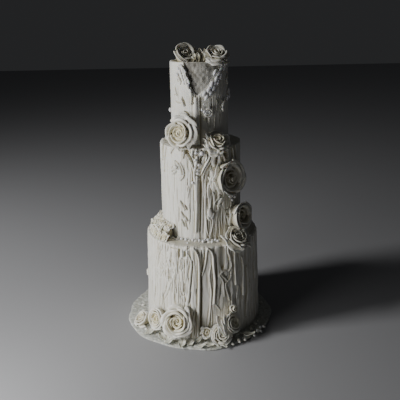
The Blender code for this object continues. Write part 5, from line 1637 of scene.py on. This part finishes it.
@dataclass(frozen=True)
class FootIcing:
    """The thin uneven band of stippled icing round the foot.

    Attributes:
        node: Node that it stands for.
        wave: How far its edge strays in and out.
        columns: Steps round it.
        rings: Steps from the tier to its edge.
        seed: Seed of its surface.
    """

    node: str = "foot_icing"
    wave: float = 2.6 * MM
    columns: int = 720
    rings: int = 34
    seed: int = 15

    def reach(self, azimuth: np.ndarray) -> np.ndarray:
        """Return how far the band reaches from the cake's axis at azimuths in degrees."""
        turn = np.radians(azimuth)
        along = SKIRT_MIDDLE[0] * np.sin(turn) - SKIRT_MIDDLE[1] * np.cos(turn)
        off = SKIRT_MIDDLE[0] ** 2 + SKIRT_MIDDLE[1] ** 2
        return along + np.sqrt(along ** 2 - off + SKIRT_RADIUS ** 2)

    def build(self) -> Piece:
        """Build the band and return its piece."""
        bm = bmesh.new()
        inner = BOTTOM_FOOT_RADIUS - 1.0 * MM
        profile = [(inner, 0.0), (SKIRT_RADIUS - 0.8 * MM, 0.0), (SKIRT_RADIUS, 1.3 * MM)]
        for ring in range(self.rings + 1):
            share = ring / self.rings
            radius = blend(SKIRT_RADIUS - 0.4 * MM, inner, share)
            height = SKIRT_THICKNESS * min(1.0, 0.62 + 0.38 * math.sqrt(min(1.0, share * 6.0)))
            profile.append((radius, height))
        revolve(bm, profile, self.columns, closed=True)
        piece = finish_piece("foot_icing_spread", bm, Finish.SPREAD, self.node)
        azimuth, radius, level = places(piece.data)
        azimuth = azimuth % 360.0
        out = ease((radius - inner) / (SKIRT_RADIUS - inner))
        wave = np.sin(np.radians(5.0 * azimuth + 40.0)) + 0.6 * np.sin(np.radians(13.0 * azimuth))
        wave += 0.8 * Grain(self.seed, 40, 1.0).sample(azimuth, 0.0 * azimuth)
        raised = level > 1.0 * MM
        grit = Grain(self.seed + 1, 210, 3.4 * MM).sample(azimuth, radius)
        grit += 0.7 * Grain(self.seed + 2, 400, 1.9 * MM).sample(azimuth, radius)
        stretched = inner + (radius - inner) * (self.reach(azimuth) - inner) / (SKIRT_RADIUS - inner)
        moved = stretched + 0.6 * self.wave * wave * out + 0.25 * MM * grit * out
        height = level + np.where(raised, 0.55 * MM * grit - 0.25 * MM, 0.0)
        move_points(piece.data, azimuth, moved, np.maximum(height, 0.0))
        # A grey tone over the band, with painted shade where its stipple dips.
        store(piece.data, PAINTED_SHADE, np.clip(0.35 - 0.45 * grit, 0.0, 1.0))
        return piece


# ---- trims


BOTTOM = BottomTier(
    "bottom_tier", 0.0, BOTTOM_TOP, BOTTOM_FOOT_RADIUS, BOTTOM_RADIUS, rim_round=4.0 * MM,
    columns=700, rows=106, seed=31, wrap=(-5.4, -3.4), hidden_radius=70.0 * MM, sink=2.8 * MM,
    step=1.6 * MM, step_reach=9.0, step_top=165.0 * MM)
MIDDLE = MiddleTier(
    "middle_tier", BOTTOM_TOP + GAP, MIDDLE_TOP, MIDDLE_FOOT_RADIUS, MIDDLE_RADIUS,
    rim_round=3.0 * MM, columns=560, rows=120, seed=47, wrap=(-5.6, -3.6),
    hidden_radius=48.0 * MM, sink=1.5 * MM, step=2.4 * MM, step_reach=18.0, step_top=284.0 * MM)
UPPER = UpperTier(
    "top_tier", MIDDLE_TOP + GAP, UPPER_TOP, UPPER_FOOT_RADIUS, UPPER_RADIUS, rim_round=2.0 * MM,
    columns=440, rows=140, seed=59, wrap=(-2.6, -1.4), sink=0.7 * MM, step=3.6 * MM,
    step_reach=30.0, step_top=420.0 * MM, top_shade=1.0)


def on_side(tier: Tier, azimuth: float, height: float, size: float, spin: float = 0.0,
            stretch: float = 1.6, squash: float = 0.6, ribs: int = 0, proud: float = 1.2) -> Dab:
    """Return a dab that lies on a tier's side, all lengths in millimetres."""
    distance = tier.radius(height * MM) / MM + proud
    return Dab((azimuth, distance, height), (azimuth, 0.0), size, spin, stretch, squash, ribs)


def build_dabs(name: str, dabs: Sequence[Dab], replaced: str,
               finish: Finish = Finish.COAT) -> Piece:
    """Build several dabs as one piece that stands for a node."""
    bm = bmesh.new()
    for dab in dabs:
        dab.add_to(bm)
    return finish_piece(name, bm, finish, replaced)


@dataclass(frozen=True)
class Strand:
    """A cord of icing that follows stops of azimuth and height over a tier's side.

    Attributes:
        tier: The tier.
        stops: Azimuth in degrees and height in millimetres of each stop.
        radius: Radius in millimetres.
        rough: How much its radius strays, as a share.
        proud: How far its middle stands out from the side.
    """

    tier: Tier
    stops: tuple[Stop, ...]
    radius: float
    rough: float = 0.1
    proud: float = 0.8

    def add_to(self, bm: Shape, draw: random.Random) -> None:
        """Add the strand to a bmesh, its roughness drawn."""
        path = smooth_path(np.array(self.stops), 1.6)
        points, radii = [], []
        for index, (azimuth, height) in enumerate(path):
            swell = 1.0 + self.rough * (math.sin(2.4 * index) + draw.uniform(-0.9, 0.9))
            end = min(1.0, 0.45 + 0.3 * min(index, len(path) - 1 - index))
            radii.append(self.radius * MM * swell * end)
            distance = self.tier.radius(height * MM) + self.proud * MM
            points.append(polar(azimuth + 0.5 * self.rough * draw.uniform(-3.0, 3.0), distance,
                                height * MM))
        add_cord(bm, points, radii)


def arc_stops(azimuth: float, height: float, size: float, first: float, last: float) -> tuple[Stop, ...]:
    """Return stops on an arc over the top tier's side, between two angles in degrees."""
    scale = math.degrees(1.0 / (UPPER_RADIUS / MM))
    return tuple((azimuth + scale * size * math.cos(math.radians(turn)),
                  height + size * math.sin(math.radians(turn)))
                 for turn in np.linspace(first, last, 17))


def build_strands(name: str, strands: Sequence[Strand], replaced: str, seed: int) -> Piece:
    """Build several strands as one piece that stands for a node."""
    draw = random.Random(seed)
    bm = bmesh.new()
    for strand in strands:
        strand.add_to(bm, draw)
    bmesh.ops.recalc_face_normals(bm, faces=bm.faces)
    return finish_piece(name, bm, Finish.COAT, replaced, rounds=1)


NECK_STRANDS = (
    Strand(UPPER, ((-36.5, 470.5), (-31, 463), (-27.5, 454.5), (-26, 448.5), (-24, 441.5),
                   (-17, 429.5), (-14.5, 421)), 2.6, 0.25, 1),
    Strand(UPPER, ((-33.5, 471), (-28, 462), (-24.5, 452), (-21.5, 442)), 1.5, 0.35, 1.8),
    Strand(UPPER, ((-16.5, 437), (-15, 428.5), (-12.5, 421)), 1.1, 0.2, 0.4),
    Strand(UPPER, ((-42, 472), (-37.5, 463), (-35.5, 455), (-32, 446)), 1, 0.35, 0.4),
)
SIDE_STRANDS = (
    Strand(UPPER, arc_stops(16, 394.8, 6.6, 130, -170), 1.7, 0.05, 1.4),
    Strand(UPPER, arc_stops(16, 394.8, 2.8, 60, -200), 0.9, 0.05, 1.6),
    Strand(UPPER, ((58, 413), (49, 407), (46.5, 401), (49, 394)), 2.3, 0.05, 2.2),
    Strand(UPPER, ((-30, 396), (-22, 389), (-17, 381.5)), 1.2),
    Strand(UPPER, ((75, 455), (64.5, 446), (70, 437)), 1.2),
)


def neckline_dabs() -> list[Dab]:
    """Return the petals and beads along the neckline."""
    draw = random.Random(71)
    right = ((63, 472), (54, 467), (44, 463.5), (39.5, 457.5), (43, 451.5), (33.5, 449), (30.5, 442.5),
             (36, 443), (23, 439.5), (27.5, 434), (17.5, 432.5), (21, 426.5), (9, 426), (13, 420),
             (48.5, 473), (30.5, 459))
    dabs = [on_side(UPPER, azimuth, height, draw.uniform(2.6, 3.2), -30.0 + draw.uniform(-9.0, 9.0),
                    draw.uniform(1.8, 2.3), 0.8, proud=1.9) for azimuth, height in right]
    left = ((-42, 466), (-37.5, 461), (-31, 466), (-26.5, 461.5), (-29, 456), (-23, 451.5),
            (-25.5, 446.5), (-20.5, 438), (-16.5, 431), (-33.5, 452), (-45, 456), (-19.5, 445),
            (-35, 469), (-29.5, 443))
    dabs += [on_side(UPPER, azimuth, height, draw.uniform(1.6, 2.1), 24.0 + draw.uniform(-20.0, 20.0),
                     draw.uniform(1.5, 2.3), 0.9, proud=1.6) for azimuth, height in left]
    return dabs


def middle_dabs() -> list[Dab]:
    """Return the shells and drops on the middle tier's side."""
    front = ((-36.5, 306, 3.4, 80, 1.3, 0.7, 5), (11, 227.5, 4.6, 10, 1.9, 0.5, 9),
             (14.5, 222, 2.8, -25, 2.4), (9, 219, 2.4, 20, 2.4), (27, 248, 3.2, -40, 2, 0.6, 5),
             (31, 242, 2.4, -30, 2), (24, 239, 2.4, -70, 1.6))
    behind = ((128, 250), (156, 300), (185, 232), (212, 285))
    return ([on_side(MIDDLE, *dab) for dab in front]
            + [on_side(MIDDLE, *place, 4.2, 40.0, 1.5, 0.6, 5) for place in behind])


def middle_pearls() -> list[Dab]:
    """Return the round pearls on the middle tier's side."""
    spots = ((1.5, 332, 3.8), (-7, 321, 2.4), (-6, 332.5, 2.2), (-2.5, 312.5, 2.2), (-4.5, 303.5, 1.7),
             (-4.5, 298, 2.3), (-5.5, 291.5, 1.6), (-11, 282, 2.5), (41, 251.5, 2.1), (46, 251.5, 2.3),
             (46, 243.5, 2), (52, 247, 2))
    return [on_side(MIDDLE, azimuth, height, size, 0.0, 1.0, 1.0, proud=1.8)
            for azimuth, height, size in spots]


def upper_dabs() -> list[Dab]:
    """Return the shells and petals on the top tier's side."""
    spots = ((16, 394.8, 3.6, 15, 1.1, 0.3, 9, 0.3), (4, 400, 1.7, 0, 1.4, 0.8),
             (8.5, 397, 1.9, -30, 1.5, 0.8), (11.5, 393, 1.8, 30, 1.4, 0.8),
             (7.5, 409, 1.2, 0, 1.2, 0.8), (77, 425, 3.4, -10, 1.6, 0.7), (83, 417, 3.2, 10, 1.6, 0.7),
             (68, 415, 2.8, 10, 1.8, 0.6), (-86, 394, 2.8, 0, 1.4, 0.8), (128, 430, 3.6, 20),
             (176, 400, 4.2, -30, 1.6, 0.6, 5), (222, 436, 3.6, 30))
    return [on_side(UPPER, *spot) for spot in spots]


def ledge_pearls() -> list[Dab]:
    """Return the round pearls on the ledge of the bottom tier."""
    spots = ((-28.5, 75.5, 2.5), (-22, 75.5, 2.6), (-12.5, 75.5, 2.7), (-4, 76, 2.4), (1, 81, 2.9),
             (7.5, 76.5, 3), (3.5, 76, 2.6), (11.5, 84.5, 2.4), (17, 78, 2.6), (18.5, 83.5, 2.2),
             (-16.5, 88, 1.8), (130, 79, 2.6), (148, 81, 2.4), (203, 78, 2.6))
    return [Dab((azimuth, radius, BOTTOM_TOP / MM + 0.7 * size), (azimuth, 60.0), size, squash=1.0)
            for azimuth, radius, size in spots]


def ledge_dabs() -> list[Dab]:
    """Return the shells and petals on the ledge of the bottom tier."""
    draw = random.Random(83)
    dabs = []
    for azimuth, radius in ((-34, 76), (-17, 76), (-8.5, 76.5), (8.5, 82), (13, 77),
                            (22, 78), (-42, 79), (118, 80), (164, 82)):
        size = draw.uniform(2.4, 3.4)
        dabs.append(Dab((azimuth, radius, BOTTOM_TOP / MM + 0.3 * size), (azimuth, 70.0), size,
                        draw.uniform(0.0, 180.0), draw.uniform(1.2, 1.7), 0.6, draw.choice((0, 5))))
    return dabs


def foot_dabs() -> list[Dab]:
    """Return the beads and small petals that lie on the foot icing."""
    draw = random.Random(97)
    spots = ((57.5, 113, 2.6), (48, 116, 3), (48.5, 130, 3.8), (50, 134, 2.4), (42, 134, 2.6),
             (38.5, 115, 2.8), (37.5, 122, 2.8), (28, 129, 3), (27.5, 134, 2.4), (21.5, 134, 2.6),
             (32.5, 134, 2.4), (12, 133, 2.4), (54.5, 127, 2.6), (57, 131, 2.4), (63, 114, 2.6),
             (70, 118, 2.2), (-86, 118, 3.2), (-56, 128, 2.6), (-31, 131, 2.4), (98, 116, 3.2),
             (118, 119, 3.4), (176, 118, 3), (187, 121, 3.4), (248, 117, 3.2), (262, 121, 2.8))
    dabs = [Dab((azimuth, radius, SKIRT_THICKNESS / MM + 0.3 * size), (azimuth, 66.0), size,
                draw.uniform(0.0, 180.0), draw.uniform(1.0, 1.5), 0.8, draw.choice((0, 0, 5)))
            for azimuth, radius, size in spots]
    dabs += [Dab((azimuth, radius, SKIRT_THICKNESS / MM + 0.6), (azimuth, 40.0), 2.2, 35.0, 2.4, 0.7)
             for azimuth, radius in ((36, 115), (39, 118), (42, 116), (40, 123))]
    return dabs


# ---- studio


@dataclass(frozen=True)
class Studio:
    """Plain floor, soft light and the camera."""

    focal_mm: float = 48.09
    sensor_mm: float = 36.0
    eye: tuple[float, float, float] = (-0.0026, -0.9269, 0.5359)
    pitch: float = 18.39
    roll: float = -1.15

    def floor(self) -> Piece:
        """Return the pale floor."""
        bm = bmesh.new()
        bmesh.ops.create_grid(bm, x_segments=1, y_segments=1, size=6.0)
        mesh = bpy.data.meshes.new("studio_floor")
        bm.to_mesh(mesh)
        bm.free()
        graph = Graph("studio_floor_paint")
        graph.set("Base Color", (0.36, 0.36, 0.37, 1.0))
        graph.set("Roughness", 0.7)
        mesh.materials.append(graph.material)
        floor = bpy.data.objects.new("studio_floor", mesh)
        bpy.context.scene.collection.objects.link(floor)
        return floor

    def lamp(self, name: str, azimuth: float, elevation: float, distance: float, size: float,
             power: float, target: float = 0.25) -> None:
        """Add one soft lamp that looks at the cake."""
        light = bpy.data.lights.new(name, "AREA")
        light.shape = "DISK"
        light.size = size
        light.energy = power
        lamp = bpy.data.objects.new(name, light)
        away = facing(azimuth, elevation)
        lamp.location = away * distance + Vector((0.0, 0.0, target))
        lamp.rotation_euler = away.to_track_quat("Z", "Y").to_euler()
        bpy.context.scene.collection.objects.link(lamp)

    def sky(self, strength: float) -> None:
        """Set a plain grey surrounding."""
        world = bpy.data.worlds.new("studio")
        world.use_nodes = True
        ground = world.node_tree.nodes["Background"]
        ground.inputs["Color"].default_value = (0.86, 0.88, 0.92, 1.0)
        ground.inputs["Strength"].default_value = strength
        bpy.context.scene.world = world

    def camera(self) -> None:
        """Add the camera at the photographed angle."""
        data = bpy.data.cameras.new("camera")
        data.lens = self.focal_mm
        data.sensor_width = self.sensor_mm
        camera = bpy.data.objects.new("camera", data)
        tilt = Matrix.Rotation(math.radians(90.0 - self.pitch), 4, "X")
        roll = Matrix.Rotation(math.radians(self.roll), 4, "Z")
        camera.matrix_world = Matrix.Translation(self.eye) @ tilt @ roll
        bpy.context.scene.collection.objects.link(camera)
        bpy.context.scene.camera = camera

    def build(self) -> None:
        """Build floor, lights and camera."""
        self.floor()
        self.lamp("key_light", azimuth=-73.0, elevation=24.0, distance=1.7, size=0.4, power=24.0)
        self.lamp("low_light", azimuth=-46.0, elevation=10.0, distance=0.66, size=0.3, power=1.9,
                  target=0.08)
        self.sky(0.025)
        self.camera()


# ---- the whole cake


def main() -> None:
    """Build the cake's looks and the studio round it."""
    logging.basicConfig(level=logging.INFO, format="%(message)s")
    for tier in (BOTTOM, MIDDLE, UPPER):
        tier.build()
    FootIcing().build()
    for rose in ROSES:
        rose.build()
    for bank in BANKS:
        bank.build()
    for leaf in LEAVES:
        build_leaves(leaf.node + "_blade", (leaf,), leaf.node)
    build_leaves("foot_icing_leaves", FOOT_FOLIAGE, "foot_icing")
    build_leaves("top_tier_leaves", TOP_FOLIAGE, "top_tier")
    build_strands("top_tier_neck_cord", NECK_STRANDS, "top_tier", 5)
    build_strands("top_tier_loops", SIDE_STRANDS, "top_tier", 6)
    build_dabs("top_tier_neck_petals", neckline_dabs(), "top_tier", Finish.PEARL)
    build_dabs("top_tier_shells", upper_dabs(), "top_tier", Finish.PEARL)
    build_dabs("middle_tier_shells", middle_dabs(), "middle_tier")
    build_dabs("middle_tier_pearls", middle_pearls(), "middle_tier", Finish.PEARL)
    build_dabs("bottom_tier_shells", ledge_dabs(), "bottom_tier")
    build_dabs("bottom_tier_pearls", ledge_pearls(), "bottom_tier", Finish.PEARL)
    build_dabs("foot_icing_beads", foot_dabs(), "foot_icing")
    Studio().build()


if __name__ == "__main__":
    main()
